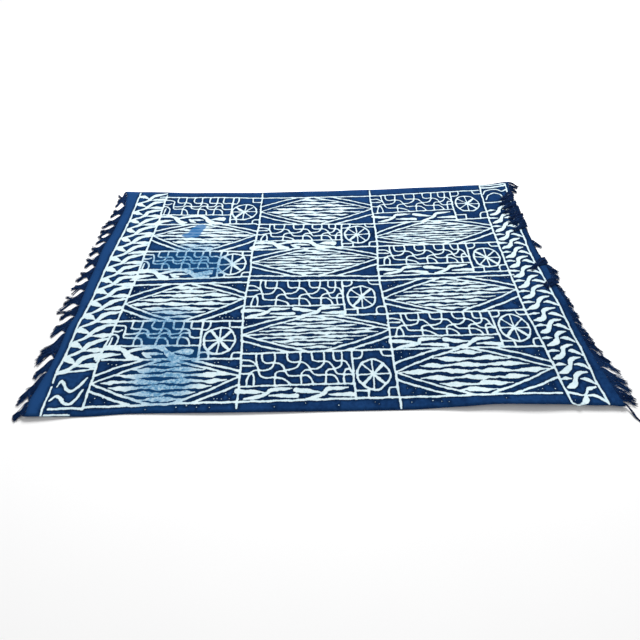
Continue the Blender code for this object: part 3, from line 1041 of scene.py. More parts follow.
def dot_corner(place_of, start, base):
    """Two lines of dots in one corner of a diamond block. Some dots are left out."""
    side = 1.0 if start == 0.0 else -1.0
    way = 1.0 if base else -1.0
    for line, count in DOT_LINES:
        for step in range(count):
            s = start + side * (0.03 + DOT_STEP * step + hand.uniform(-0.004, 0.004))
            t = base - way * (line + hand.uniform(-0.02, 0.02))
            if hand.random() < DOT_CHANCE:
                lay_dot(*place_of(s, t))


for diamond in DIAMONDS:
    if diamond.row >= FIRST_DOTTED_ROW:
        place_of = block_place(diamond.row, diamond.column)
        for start, base in ((0.0, 1.0), (0.0, 0.0), (1.0, 1.0), (1.0, 0.0)):
            dot_corner(place_of, start, base)
for _ in range(MARGIN_DOTS):
    lay_dot(hand.uniform(-0.6, 0.75), MARGIN_Y + hand.uniform(-0.006, 0.006))
drawn_metres = sum((b - a).length for s in strokes for a, b in zip(s.points, s.points[1:]))
print("strokes in all:", len(strokes), "drawn metres:", round(drawn_metres, 1))

# %% [markdown]
# ## The dyed sheet
# The sheet is a mesh that knows its drawing. Each stroke goes into it as three lines, its
# middle and one on each side a little past its edge, and Blender joins all the points into
# triangles that keep those lines. Each vertex then stores how far it is from the nearest
# stroke's edge, below 0 inside the stroke. The material reads that number, so an edge stays
# sharp from near by, where a picture would blur.
#
# A stroke has a point every 2 mm, and a straight one needs far fewer. `thinned` keeps the two
# ends, then splits a span at its worst point until the rest lies close enough. The underside,
# which is seldom seen, is kept to a coarser line.

# %% Thin out the strokes
TOP_WITHIN = 0.00035
UNDER_WITHIN = 0.00080
LONGEST_STEP = 0.020


def worst_between(stroke, low, high):
    """The point between two others that a straight span would miss by most, and by how much."""
    start, end = stroke.points[low], stroke.points[high]
    along = end - start
    length = max(along.length, 1e-9)
    grown = stroke.halves[high] - stroke.halves[low]
    worst, worst_at = 0.0, low + 1
    for index in range(low + 1, high):
        share = (index - low) / (high - low)
        off = stroke.points[index] - start
        aside = abs(off.x * along.y - off.y * along.x) / length
        wider = abs(stroke.halves[index] - stroke.halves[low] - grown * share)
        if max(aside, wider) > worst:
            worst, worst_at = max(aside, wider), index
    return worst, worst_at, length


def thinned(stroke, keep_within):
    """Indices of the points that a stroke needs to keep its shape to within that distance."""
    keep = {0, len(stroke.points) - 1}
    spans = [(0, len(stroke.points) - 1)]
    while spans:
        low, high = spans.pop()
        if high - low < 2:
            continue
        worst, worst_at, length = worst_between(stroke, low, high)
        if worst > keep_within or length > LONGEST_STEP:
            if worst < keep_within:
                worst_at = (low + high) // 2
            keep.add(worst_at)
            spans += [(low, worst_at), (worst_at, high)]
    return sorted(keep)


print("first ruled line:", len(strokes[0].points), "points, kept", len(thinned(strokes[0], TOP_WITHIN)))

# %% [markdown]
# Between the strokes a plain grid of points carries the cloth's lie, and it stays clear of the
# drawing, where the strokes have points enough. The rim goes once round the cloth. A k-d tree
# finds the drawn points near a place without looking at all of them.

# %% Rim and grid
RIM_STEP = 0.0115
TOP_STEP = 0.013
UNDER_STEP = 0.020
GRID_CLEAR = 0.008


def outline_places(step):
    """The rim of the cloth, once round."""
    runs, crossings = round(PANEL_LENGTH / step), round(PANEL_WIDTH / step)
    shares = [(i / runs, 0.0) for i in range(runs)]
    shares += [(1.0, j / crossings) for j in range(crossings)]
    shares += [(1.0 - i / runs, 1.0) for i in range(runs)]
    shares += [(0.0, 1.0 - j / crossings) for j in range(crossings)]
    return [Vector(plan_point(along, across)) for along, across in shares]


def grid_places(step):
    """Points of a plain grid inside the rim, but for those near the drawing."""
    runs, crossings = round(PANEL_LENGTH / step), round(PANEL_WIDTH / step)
    places = []
    for i in range(1, runs):
        for j in range(1, crossings):
            place = Vector(plan_point(i / runs, j / crossings))
            if near.find((place.x, place.y, 0.0))[2] > GRID_CLEAR:
                places.append(place)
    return places


rim = outline_places(RIM_STEP)
rim_edges = [(i, (i + 1) % len(rim)) for i in range(len(rim))]
samples = [(s, i) for s, stroke in enumerate(strokes) for i in range(len(stroke.points))]
near = kdtree.KDTree(len(samples))
for index, (s, i) in enumerate(samples):
    near.insert((*strokes[s].points[i], 0.0), index)
near.balance()
print("rim:", len(rim), "points; drawn points:", len(samples))

# %% [markdown]
# The two outer lines of a stroke lie a little past its edge, where the stored distance is
# above 0, and three more points fan out past each of its ends. So every triangle that the
# edge crosses has corners on both sides of it.

# %% Lines that the sheet keeps
PAST_EDGE = 0.0024
END_TURNS = (-0.6, 0.0, 0.6)


def plan_of_sheet(keep_within, grid_step):
    """The points that one side of the sheet is made of, and the lines that join some of them."""
    plan, plan_edges = list(rim), list(rim_edges)
    for points, halves in strokes:
        sides = {-1.0: [], 0.0: [], 1.0: []}
        for index in thinned(Stroke(points, halves), keep_within):
            heading = (points[min(index + 1, len(points) - 1)] - points[max(index - 1, 0)]).normalized()
            sideways = Vector((-heading.y, heading.x))
            for side, line in sides.items():
                line.append(points[index] + sideways * (side * (halves[index] + PAST_EDGE)))
        for line in sides.values():
            first = len(plan)
            plan += line
            plan_edges += [(first + i, first + i + 1) for i in range(len(line) - 1)]
        for end, inner in ((0, 1), (-1, -2)):
            out = (points[end] - points[inner]).normalized()
            sideways = Vector((-out.y, out.x))
            for turn in END_TURNS:
                spread = out * math.cos(turn) + sideways * math.sin(turn)
                plan.append(points[end] + spread * (halves[end] + PAST_EDGE))
    return plan + grid_places(grid_step), plan_edges


top_lines = plan_of_sheet(TOP_WITHIN, TOP_STEP)
under_lines = plan_of_sheet(UNDER_WITHIN, UNDER_STEP)
print("points to join:", len(top_lines[0]), "on top,", len(under_lines[0]), "under it")

# %% [markdown]
# `delaunay_2d_cdt` joins points into triangles and keeps the given edges among them. Called
# with the rim as a face, it leaves out what lies outside. `distance_to_drawing` measures to
# the nearest spans of the strokes near a place, not just to their points.

# %% Join the points into triangles
FURTHEST = 0.008
LOOK_WITHIN = 0.0135
SAME_POINT = 0.00004


def distance_to_drawing(place):
    """Metres from a place to the edge of the nearest stroke, below 0 inside it."""
    best = FURTHEST
    for _, index, far in near.find_range((place.x, place.y, 0.0), LOOK_WITHIN):
        s, i = samples[index]
        points, halves = strokes[s]
        if far - halves[i] - DRAWN_STEP > best:
            continue
        for j in (i - 1, i):
            if 0 <= j < len(points) - 1:
                start, along = points[j], points[j + 1] - points[j]
                reached = (place - start).dot(along) / max(along.length_squared, 1e-12)
                share = min(1.0, max(0.0, reached))
                wide = halves[j] + (halves[j + 1] - halves[j]) * share
                best = min(best, (place - start - along * share).length - wide)
    return best


def triangles_of(points, edges):
    """Triangles inside the rim, which is the first of the points, all turned to face up."""
    rim_face = [list(range(len(rim)))]
    joined = geometry.delaunay_2d_cdt(points, edges, rim_face, 1, SAME_POINT)
    laid, faces, came_from = joined[0], joined[2], joined[3]
    rim_at = {old: new for new, olds in enumerate(came_from) for old in olds if old < len(rim)}
    turned = []
    for face in faces:
        a, b, c = (laid[i] for i in face)
        area = (b - a).cross(c - a)
        turned.append(tuple(face) if area > 0.0 else tuple(reversed(face)))
    return laid, turned, [rim_at[i] for i in range(len(rim))]


top_plan, top_faces, top_rim = triangles_of(*top_lines)
under_plan, under_faces, under_rim = triangles_of(*under_lines)
print("top:", len(top_plan), "points,", len(top_faces), "triangles; underside:", len(under_faces))

# %% [markdown]
# The top goes up by the cloth's thickness, and a row of narrow faces, bulging a little, closes
# the sheet round its rim, so it is one closed body. Each vertex then gets its distance to the
# drawing, in millimetres.

# %% Close the sheet round its rim
RIM_BULGE = 0.00022
corners = [(p.x, p.y, cloth_height(p.x, p.y) + CLOTH_THICK) for p in top_plan]
corners += [(p.x, p.y, cloth_height(p.x, p.y)) for p in under_plan]
under_first = len(top_plan)
rim_first = len(corners)
for index, place in enumerate(rim):
    ahead = rim[(index + 1) % len(rim)] - rim[index - 1]
    out = Vector((ahead.y, -ahead.x)).normalized()
    bulge = place + out * RIM_BULGE
    corners.append((bulge.x, bulge.y, cloth_height(place.x, place.y) + CLOTH_THICK / 2.0))
faces = list(top_faces)
faces += [tuple(under_first + i for i in reversed(face)) for face in under_faces]
for index in range(len(rim)):
    after = (index + 1) % len(rim)
    middle, middle_after = rim_first + index, rim_first + after
    faces.append((top_rim[index], middle, middle_after, top_rim[after]))
    faces.append((middle, under_first + under_rim[index], under_first + under_rim[after], middle_after))

cloth = make_mesh("ndop_cloth_sheet", corners, faces)
cloth.data.polygons.foreach_set("use_smooth", [True] * len(faces))
sheet_plan = top_plan + under_plan + list(rim)
resist = [distance_to_drawing(place) * 1000.0 for place in top_plan + under_plan]
resist += [FURTHEST * 1000.0] * len(rim)
cloth.data.attributes.new("resist_mm", "FLOAT", "POINT").data.foreach_set("value", resist)

print("sheet:", len(corners), "points,", len(faces), "faces")
print("points inside a stroke:", sum(1 for distance in resist if distance < 0.0))

# %% [markdown]
# A map says where each face lies in a flat square, for whoever bakes the look to a picture.
# The top takes the upper part of the square at its true shape. The underside, squashed, has
# the strip below it, so that the two never share a spot.

# %% Map of the sheet
MAP_SCALE = 0.98 / 1.76
MAP_LEFT_X = 0.88
MAP_FRONT_Y = 0.545
MAP_MARGIN = 0.01
TOP_MAP_LOW = 0.378
UNDER_MAP_LOW = 0.005
MAP_UNDER_SQUASH = 0.36 / 0.62

corner_vertex = np.zeros(len(cloth.data.loops), np.int32)
cloth.data.loops.foreach_get("vertex_index", corner_vertex)
spots = np.array(corners)
across_map = MAP_MARGIN + (spots[:, 0] + MAP_LEFT_X) * MAP_SCALE
up_map = ((spots[:, 1] + MAP_FRONT_Y) * MAP_SCALE)[corner_vertex]
of_top = np.zeros(len(corner_vertex), bool)
of_top[: 3 * len(top_faces)] = True
map_places = np.zeros((len(corner_vertex), 2), np.float32)
map_places[:, 0] = across_map[corner_vertex]
map_places[:, 1] = np.where(of_top, TOP_MAP_LOW + up_map, UNDER_MAP_LOW + MAP_UNDER_SQUASH * up_map)
layer = cloth.data.uv_layers.new(name="OFBake")
layer.uv.foreach_set("vector", map_places.ravel())
print("map from", map_places.min(axis=0).round(3), "to", map_places.max(axis=0).round(3))

# %% [markdown]
# ## Where the dye got in
# The paste failed in a few places of the left column: there the drawing is pale blue and
# blotchy, and one patch of the second diamond is plain blue. Each is a soft round spot in a
# table. The vertices store how far the dye got in, and the material breaks it up with noise.

# %% Stains
Stain = namedtuple("Stain", "x y reach_x reach_y strength")
SEEPS = (
    Stain(x=-0.490, y=-0.425, reach_x=0.110, reach_y=0.095, strength=0.78),
    Stain(x=-0.460, y=-0.335, reach_x=0.110, reach_y=0.040, strength=0.66),
    Stain(x=-0.535, y=-0.245, reach_x=0.105, reach_y=0.070, strength=0.78),
    Stain(x=-0.530, y=-0.165, reach_x=0.105, reach_y=0.034, strength=0.50),
    Stain(x=-0.545, y=0.095, reach_x=0.130, reach_y=0.060, strength=0.86),
    Stain(x=-0.430, y=0.075, reach_x=0.100, reach_y=0.060, strength=0.74),
    Stain(x=-0.430, y=0.025, reach_x=0.080, reach_y=0.035, strength=0.60),
    Stain(x=-0.485, y=0.165, reach_x=0.100, reach_y=0.028, strength=0.50),
)
PATCHES = (
    Stain(x=-0.505, y=0.262, reach_x=0.030, reach_y=0.026, strength=1.0),
    Stain(x=-0.521, y=0.236, reach_x=0.041, reach_y=0.016, strength=1.0),
    Stain(x=-0.490, y=0.285, reach_x=0.026, reach_y=0.018, strength=1.0),
)
FULL_WITHIN = 1.35
FADE_OVER = 0.9


def stained(stains, x, y):
    """How far the dye got in at a place, from 0 to 1."""
    dry = 1.0
    for stain in stains:
        far = math.hypot((x - stain.x) / stain.reach_x, (y - stain.y) / stain.reach_y)
        dry *= 1.0 - stain.strength * ease((FULL_WITHIN - far) / FADE_OVER)
    return 1.0 - dry


for name, stains in (("seep", SEEPS), ("patch", PATCHES)):
    amounts = [stained(stains, place.x, place.y) for place in sheet_plan]
    cloth.data.attributes.new(name, "FLOAT", "POINT").data.foreach_set("value", amounts)
    print(name, "reaches", sum(1 for a in amounts if a > 0.1), "points")

# %% [markdown]
# ## Indigo cotton
# Threads go over and under each other. Two sine waves, one for the warp and one for the weft,
# say which is on top and where the gaps between them are. Slubs and fuzz, which are noise,
# roughen them. All this gives the bump its height. `Attribute` brings in the numbers that the
# vertices store.

# %% Weave
THREADS_A_METRE = 1150.0
WEFT_SHARE = 0.92

indigo_cotton, dyed = new_material("dyed_indigo_cotton")
place = dyed.place()
apart = dyed.add("ShaderNodeSeparateXYZ", None, {0: place})
run_x, run_y = Value(dyed, apart.outputs["X"]), Value(dyed, apart.outputs["Y"])

warp = (run_y * (math.pi * THREADS_A_METRE)).sine()
weft = (run_x * (math.pi * THREADS_A_METRE * WEFT_SHARE)).sine()
over = (warp * weft) * 0.5 + 0.5
thread_gap = (warp.absolute() * weft.absolute()) ** 0.5
slub = dyed.noise(place, 420.0, 3.0, 0.65)
fuzz = dyed.noise(place, 2400.0, 2.0)
weave = over * 0.45 + thread_gap * 0.35 + slub * 0.5 + fuzz * 0.25
print("threads in a centimetre:", THREADS_A_METRE / 100)

# %% [markdown]
# The resist number parts pale from dyed. Noise makes it ragged, as a stitched edge is. The
# marks are drawn a little finer to the right and at the back of this cloth, so a slow ramp
# adds to the number there. `pooled` is 1 beside a mark and falls off within 7 mm of it,
# because the dye gathers against the resist.

# %% Where the cloth is pale
edge_noise = dyed.noise(place, 200.0, 4.0, 0.7) * 5.4 + dyed.noise(place, 55.0, 2.0) * 2.2
ragged = edge_noise + fuzz * 0.8
finer = (run_x + 0.30).rise(0.0, 0.08) * 0.35 + (run_y - 0.25).rise(0.0, 0.15) * 0.50
edge = dyed.attribute("resist_mm") + ragged + finer
bare = 1.0 - edge.rise(-0.45, 0.55)
pooled = 1.0 - edge.rise(0.5, 7.0)
print("nodes so far:", len(dyed.tree.nodes))

# %% [markdown]
# Indigo is never even. The blue drifts in large soft clouds and in small ones, is lighter at
# the left end, a little deeper to the right, and deepest where it pooled beside a mark.

# %% Blue ground
INDIGO_DEEP = (0.0030, 0.0150, 0.060, 1.0)
INDIGO_LIGHT = (0.0130, 0.0560, 0.175, 1.0)
INDIGO_POOLED = (0.0004, 0.0036, 0.018, 1.0)
INDIGO_SEEPED = (0.0075, 0.0620, 0.175, 1.0)

clouds = dyed.noise(place, 2.2, 2.0, 0.5) * 1.1 + dyed.noise(place, 14.0, 3.0, 0.6) * 0.9
clouds = clouds + dyed.noise(place, 95.0, 4.0, 0.65) * 1.3
toward_left = (0.0 - run_x - 0.72).rise(0.0, 0.14)
toward_right = (run_x + 0.2).rise(0.0, 0.7)
drift = clouds + 0.60 + toward_left * 0.5 - toward_right * 0.12
# Painted shade: the blue is lighter on the tops of the threads than in the gaps between them.
blue = dyed.mix((drift + thread_gap * 0.12).clamp(), INDIGO_DEEP, INDIGO_LIGHT)
blue = dyed.mix(pooled * 0.90, blue, INDIGO_POOLED)
blue = dyed.mix(dyed.attribute("seep") * 0.8, blue, INDIGO_SEEPED)
print("nodes so far:", len(dyed.tree.nodes))

# %% [markdown]
# Bare cotton isn't white here: it has a blue tint in fine specks, a blue rim where dye crept
# under the edge of the resist, and in the stained places blotches from pale blue to indigo.

# %% Pale marks
BARE_COTTON = (0.780, 0.900, 0.925, 1.0)
BARE_TINTED = (0.460, 0.690, 0.790, 1.0)
SEEPED_COTTON = (0.140, 0.350, 0.560, 1.0)

blotches = dyed.noise(place, 105.0, 4.0, 0.7) * 3.2
seep = (dyed.attribute("seep") * 1.15 + blotches * dyed.attribute("seep") - 0.08).clamp()
specks = dyed.noise(place, 60.0, 3.0, 0.6) * 1.4 + dyed.noise(place, 330.0, 3.0, 0.7) * 2.0
cotton = dyed.mix((specks + 0.24).clamp(), BARE_COTTON, BARE_TINTED)
cotton = dyed.mix(edge.rise(-1.5, 0.2) * 0.5, cotton, SEEPED_COTTON)
cotton = dyed.mix(seep, cotton, SEEPED_COTTON)
deep_seep = (seep * 1.4 - 1.05 + blotches * 0.35).clamp() * 0.6
cotton = dyed.mix(deep_seep, cotton, INDIGO_LIGHT)
print("nodes so far:", len(dyed.tree.nodes))

# %% [markdown]
# The two colours meet at the ragged edge, the plain blue patch goes over both, and painted
# shade darkens all of it in the gaps between the threads. Hand-spun cotton is dull, so it hardly
# shines.

# %% Put the cotton together
INDIGO_PATCH = (0.028, 0.150, 0.370, 1.0)
GAP_PAINTED_SHADE = (0.0, 0.004, 0.02, 1.0)

colour = dyed.mix(bare, blue, cotton)
patch = (dyed.attribute("patch") + dyed.noise(place, 90.0, 2.0) * 0.5).rise(0.35, 0.6)
colour = dyed.mix(patch * 0.88, colour, INDIGO_PATCH)
# Painted shade: the colour darkens in the gaps between the threads.
shade = 1.0 - (1.0 - thread_gap) * 0.22
colour = dyed.mix((1.0 - shade).clamp(), colour, GAP_PAINTED_SHADE)
dyed.finish({
    "Base Color": colour,
    "Roughness": (0.84 + slub * 0.12 - bare * 0.05).clamp(),
    "Normal": dyed.bump(weave, 0.0004, 0.55),
    "Specular IOR Level": 0.004,
    "Sheen Weight": 0.001,
    "Sheen Roughness": 0.6,
})
cloth.data.materials.append(indigo_cotton)
print("cotton nodes:", len(dyed.tree.nodes))

# %% Hand the sheet over
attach(cloth, "root")
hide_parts("cloth_panel")
print(cloth.name, "takes the place of cloth_panel")

# %% [markdown]
# ## How the fringe lies
# The fringe is the ends of the warp. Cut from the loom, they hang together in locks, and
# neighbours lean on each other, so that their tips meet and small gaps open between them. The
# solids have one strand for each lock. The tables below say which way a stretch of the fringe
# points, how long it is, and whether it lies out on the floor, is thrown back over the cloth,
# or is tucked under it.

# %% Lock tables
Lock = namedtuple("Lock", "y heading length turn")
LEFT_LOCKS = (
    Lock(-0.545, 38, 0.028, 0), Lock(-0.500, 40, 0.042, 0), Lock(-0.440, 42, 0.049, 0),
    Lock(-0.380, 34, 0.037, 0), Lock(-0.310, 42, 0.066, 0), Lock(-0.240, 30, 0.056, 0),
    Lock(-0.170, 24, 0.048, 0), Lock(-0.120, 22, 0.060, 0), Lock(-0.040, 20, 0.050, 0),
    Lock(0.110, 14, 0.042, 0), Lock(0.180, 16, 0.044, 0), Lock(0.290, 18, 0.052, 0),
    Lock(0.400, 20, 0.044, 0), Lock(0.500, 24, 0.034, 0), Lock(0.545, 10, 0.032, 0),
)
RIGHT_LOCKS = (
    Lock(-0.545, 18, 0.046, 0), Lock(-0.450, 26, 0.056, 0), Lock(-0.360, 32, 0.050, 0),
    Lock(-0.290, 38, 0.030, 0), Lock(-0.200, 40, 0.022, 0), Lock(-0.100, 34, 0.020, 0),
    Lock(-0.060, 22, 0.046, 1), Lock(0.026, 30, 0.034, 0), Lock(0.050, 24, 0.044, 1),
    Lock(0.110, 10, 0.032, -1), Lock(0.170, 32, 0.030, 0), Lock(0.200, 12, 0.032, -1),
    Lock(0.280, 20, 0.040, 1), Lock(0.380, 26, 0.046, 1), Lock(0.470, 30, 0.042, 1),
    Lock(0.510, 26, 0.034, 0), Lock(0.545, -6, 0.042, 0),
)
STRAY_YARN = Lock(-0.540, math.radians(68), 0.064, 0)


def lock_at(locks, y):
    """Heading and length eased between the rows of a table, and the turn of the nearest row."""
    nearest = min(locks, key=lambda lock: abs(lock.y - y))
    same = [lock for lock in locks if lock.turn == nearest.turn]
    heading = between([Knot(lock.y, lock.heading) for lock in same], y)
    length = between([Knot(lock.y, lock.length) for lock in same], y)
    return Lock(y=y, heading=math.radians(heading), length=length, turn=nearest.turn)


print("locks thrown over:", sum(lock.turn > 0 for lock in RIGHT_LOCKS), "rows of the table")

# %% [markdown]
# A lock that lies out rests on the floor, and so does one that is tucked under. One that is
# thrown over rests on the cloth. The heading turns the lock towards the front edge, from
# straight out or, when it is turned, from straight back.

# %% Where a lock lies
LOCKS_A_SIDE = 64
LOCK_SHARE = 0.66
LOCK_THICK = 0.0014
OVER_CLEARANCE = 0.0006


def lying_directions(side, lock):
    """The way a lock lies in plan, and the way across it towards the back edge."""
    out = -side if lock.turn else side
    ahead = Vector((out * math.cos(lock.heading), -math.sin(lock.heading), 0.0))
    sideways = Vector((out * math.sin(lock.heading), math.cos(lock.heading), 0.0))
    return ahead, sideways


def resting_height(place, turn):
    """Height of a lock's middle: on the cloth if it is thrown over, or else on the floor."""
    if turn > 0:
        return cloth_height(place.x, place.y) + CLOTH_THICK + OVER_CLEARANCE + LOCK_THICK / 2.0
    return LOCK_THICK / 2.0


print("a lock is", round(1000 * LOCK_SHARE * PANEL_WIDTH / LOCKS_A_SIDE, 1), "mm wide at its root")

# %% [markdown]
# A lock is followed by rings: places along it, each with its sideways direction, the way out
# of its face, and its width. A turned lock first goes half round a small bend, and then it
# comes down to where it rests.

# %% Rings along a lock
FLAT_STEPS = 6
BEND_STEPS = 4
OVER_RADIUS = 0.0022
Ring = namedtuple("Ring", "place sideways normal width")
OUTWARD = Vector((1.0, 0.0, 0.0))
ACROSS = Vector((0.0, 1.0, 0.0))
UP = Vector((0.0, 0.0, 1.0))


def bend_rings(root, side, turn, width):
    """The half turn at the root of a lock that is thrown over or tucked under."""
    radius = OVER_RADIUS if turn > 0 else (root.z - LOCK_THICK / 2.0) / 2.0
    rings = []
    for step in range(1, BEND_STEPS + 1):
        angle = math.pi * step / BEND_STEPS
        place = root + OUTWARD * (side * radius * math.sin(angle))
        place += UP * (turn * radius * (1.0 - math.cos(angle)))
        normal = UP * math.cos(angle) - OUTWARD * (side * turn * math.sin(angle))
        rings.append(Ring(place, ACROSS, normal, width))
    return rings


def lock_rings(root, side, lock, drift, tip_width):
    """Rings along a lock from its root to its tip: a half turn, if it is turned, and the rest."""
    root_width = LOCK_SHARE * PANEL_WIDTH / LOCKS_A_SIDE
    rings = [Ring(root, ACROSS, UP, root_width)]
    if lock.turn:
        rings += bend_rings(root, side, lock.turn, root_width)
    start = rings[-1].place
    ahead, sideways = lying_directions(side, lock)
    drop = start.z - resting_height(start, lock.turn)
    width = root_width * math.cos(lock.heading)
    normal = -UP if lock.turn else UP
    for step in range(1, FLAT_STEPS + 1):
        share = step / FLAT_STEPS
        place = start + ahead * (lock.length * share) + sideways * (drift * ease(share))
        place.z = resting_height(place, lock.turn) + drop * (1.0 - ease(share))
        rings.append(Ring(place, sideways, normal, width + (tip_width - width) * share))
    return rings


print("rings in a thrown lock:", 1 + BEND_STEPS + FLAT_STEPS)

# %% [markdown]
# The locks stand in pairs, which share a heading and lean towards each other until their tips
# nearly meet. The first one at the right is the stray yarn that trails from the front corner.
# The random numbers follow the solids' own, so both have their locks in the same places.

# %% Locks of one end
STRIP_WIDTH = 0.0035
ROOT_GAP = 0.0004
LOCK_TIP_WIDTH = 0.0058
LOCK_TIP_GAP = 0.0012
STRAY_TIP_WIDTH = 0.0024
LENGTH_SPREAD = 0.14
HEADING_SPREAD = math.radians(5.0)
LOCK_SEED = 7


def end_root(side, across):
    """The root of a lock at the cloth's end, on the outer face of the strip it grows from."""
    x, y = plan_point(0.5 + 0.5 * side, across)
    return Vector((x + side * (ROOT_GAP + STRIP_WIDTH), y, cloth_height(x, y) + LOCK_THICK / 2.0))


def locks_of(side, table):
    """Every lock at one end with its rings, in pairs that lean towards each other."""
    chance = random.Random(LOCK_SEED + side)
    grown = []
    for pair in range(LOCKS_A_SIDE // 2):
        roots = [end_root(side, (2 * pair + offset + 0.5) / LOCKS_A_SIDE) for offset in (0, 1)]
        lock = lock_at(table, (roots[0].y + roots[1].y) / 2.0)
        lock = lock._replace(heading=lock.heading + HEADING_SPREAD * chance.uniform(-1.0, 1.0))
        sideways = lying_directions(side, lock)[1]
        drift = ((roots[1] - roots[0]).dot(sideways) - LOCK_TIP_WIDTH - LOCK_TIP_GAP) / 2.0
        for root, towards in zip(roots, (1.0, -1.0)):
            longer = 1.0 + LENGTH_SPREAD * chance.uniform(-1.0, 1.0)
            own = lock._replace(length=lock.length * longer)
            rings = lock_rings(root, side, own, towards * drift, LOCK_TIP_WIDTH)
            if side > 0 and not grown:
                own = STRAY_YARN
                rings = lock_rings(root, side, STRAY_YARN, 0.0, STRAY_TIP_WIDTH)
            grown.append((own, rings))
    return grown


left_locks, right_locks = locks_of(-1, LEFT_LOCKS), locks_of(1, RIGHT_LOCKS)
print("locks at the left:", len(left_locks), "and at the right:", len(right_locks))

# %% [markdown]
# ## Yarns
# A lock is a handful of loosely twisted yarns. The yarns start side by side in the cloth's
# end, so the root strip vanishes under them. They draw together along their lock, and a few
# locks lean together in a bunch, so that gaps open between the bunches. `Bunching` says how
# many locks make a bunch, how hard they gather, how far their tips part again, in the front
# part and behind it, and how ragged the ends are.

# %% Places along a lock
Bunching = namedtuple("Bunching", "fewest most gather loosen front_loosen ragged")
LEFT_BUNCHING = Bunching(fewest=3, most=6, gather=0.80, loosen=0.95, front_loosen=0.25, ragged=0.12)
RIGHT_BUNCHING = Bunching(fewest=1, most=4, gather=0.34, loosen=0.60, front_loosen=0.60, ragged=0.14)


def along_rings(rings, share):
    """The ring at a share of a lock's length, between the ones that it has."""
    lengths = [0.0]
    for a, b in zip(rings, rings[1:]):
        lengths.append(lengths[-1] + (b.place - a.place).length)
    want = share * lengths[-1]
    for index in range(len(rings) - 1):
        if want <= lengths[index + 1] or index == len(rings) - 2:
            break
    part = (want - lengths[index]) / max(lengths[index + 1] - lengths[index], 1e-9)
    a, b = rings[index], rings[index + 1]
    sideways = a.sideways.lerp(b.sideways, min(part, 1.0))
    normal = a.normal.lerp(b.normal, min(part, 1.0)).normalized()
    return Ring(a.place.lerp(b.place, part), sideways, normal, a.width + (b.width - a.width) * part)


def bunches_of(locks, bunching, chance):
    """For every lock, the neighbours that it leans together with, which turn the same way."""
    bunches = []
    while len(bunches) < len(locks):
        first = len(bunches)
        wanted = first + chance.randint(bunching.fewest, bunching.most)
        last = first + 1
        while last < min(wanted, len(locks)) and locks[last][0].turn == locks[first][0].turn:
            last += 1
        bunches += [locks[first:last]] * (last - first)
    return bunches


print("locks in a bunch at the left:", LEFT_BUNCHING.fewest, "to", LEFT_BUNCHING.most)

# %% [markdown]
# Two things pull at a yarn on its way: the middle of its bunch, which it leans to, and the
# front edge, towards which the front part of the fringe bends. Both grow from the root to the
# tip. Behind the front part the fringe lies straighter.

# %% Bend and lean
FRONT_BEND = 0.017
BEND_FROM_Y, BEND_FADE = 0.56, 0.14
BEHIND_FROM_Y, BEHIND_FADE = 0.28, 0.16
BEHIND_STRAIGHTER = 0.65
RIGHT_BEND_SHARE = 0.6
TURNED_BEND_SHARE = 0.3


def bend_of(side, lock, root_y, behind):
    """How far the tips of a lock's yarns swing towards the front edge, in metres."""
    if lock.turn:
        return FRONT_BEND * TURNED_BEND_SHARE
    straighter = 1.0 - BEHIND_STRAIGHTER * behind
    at_side = RIGHT_BEND_SHARE if side > 0 else 1.0
    return FRONT_BEND * ease((root_y + BEND_FROM_Y) / BEND_FADE) * straighter * at_side


def lean_to(bunch, at, place, lean_share):
    """The way from a place towards the middle of its bunch, as far along as the place is."""
    shared = sum((along_rings(rings, at).place for _, rings in bunch), Vector()) / len(bunch)
    return (shared - place) * lean_share


print("front tips bend by up to", FRONT_BEND * 1000, "mm")

# %% [markdown]
# Each yarn keeps to its own lane of the lock, waves a little, and curls off at its end. Yarns
# that are thrown over the cloth bulge out at the turn, reach further and wave more, and they
# never sink into the cloth.

# %% Yarn lines
YARNS_A_LOCK = 10
MORE_IF_TURNED = 5
YARNS_IN_STRAY = 3
YARN_RADIUS = 0.00092
YARN_STEPS = 14
LANE_SHARE = 0.92
WAVE_ACROSS = 0.0015
WAVE_UP = 0.0005
PILE_HEIGHT = 0.0024
END_CURL = 0.0038
TIP_NARROW = 0.22
TURNED_GATHER = 0.15
THROWN_FURTHER = 0.50
TURN_BULGE = 0.011
TURNED_WAVY = 2.2
STRAY_THICKER = 1.5
TIP_THINNER = 0.3


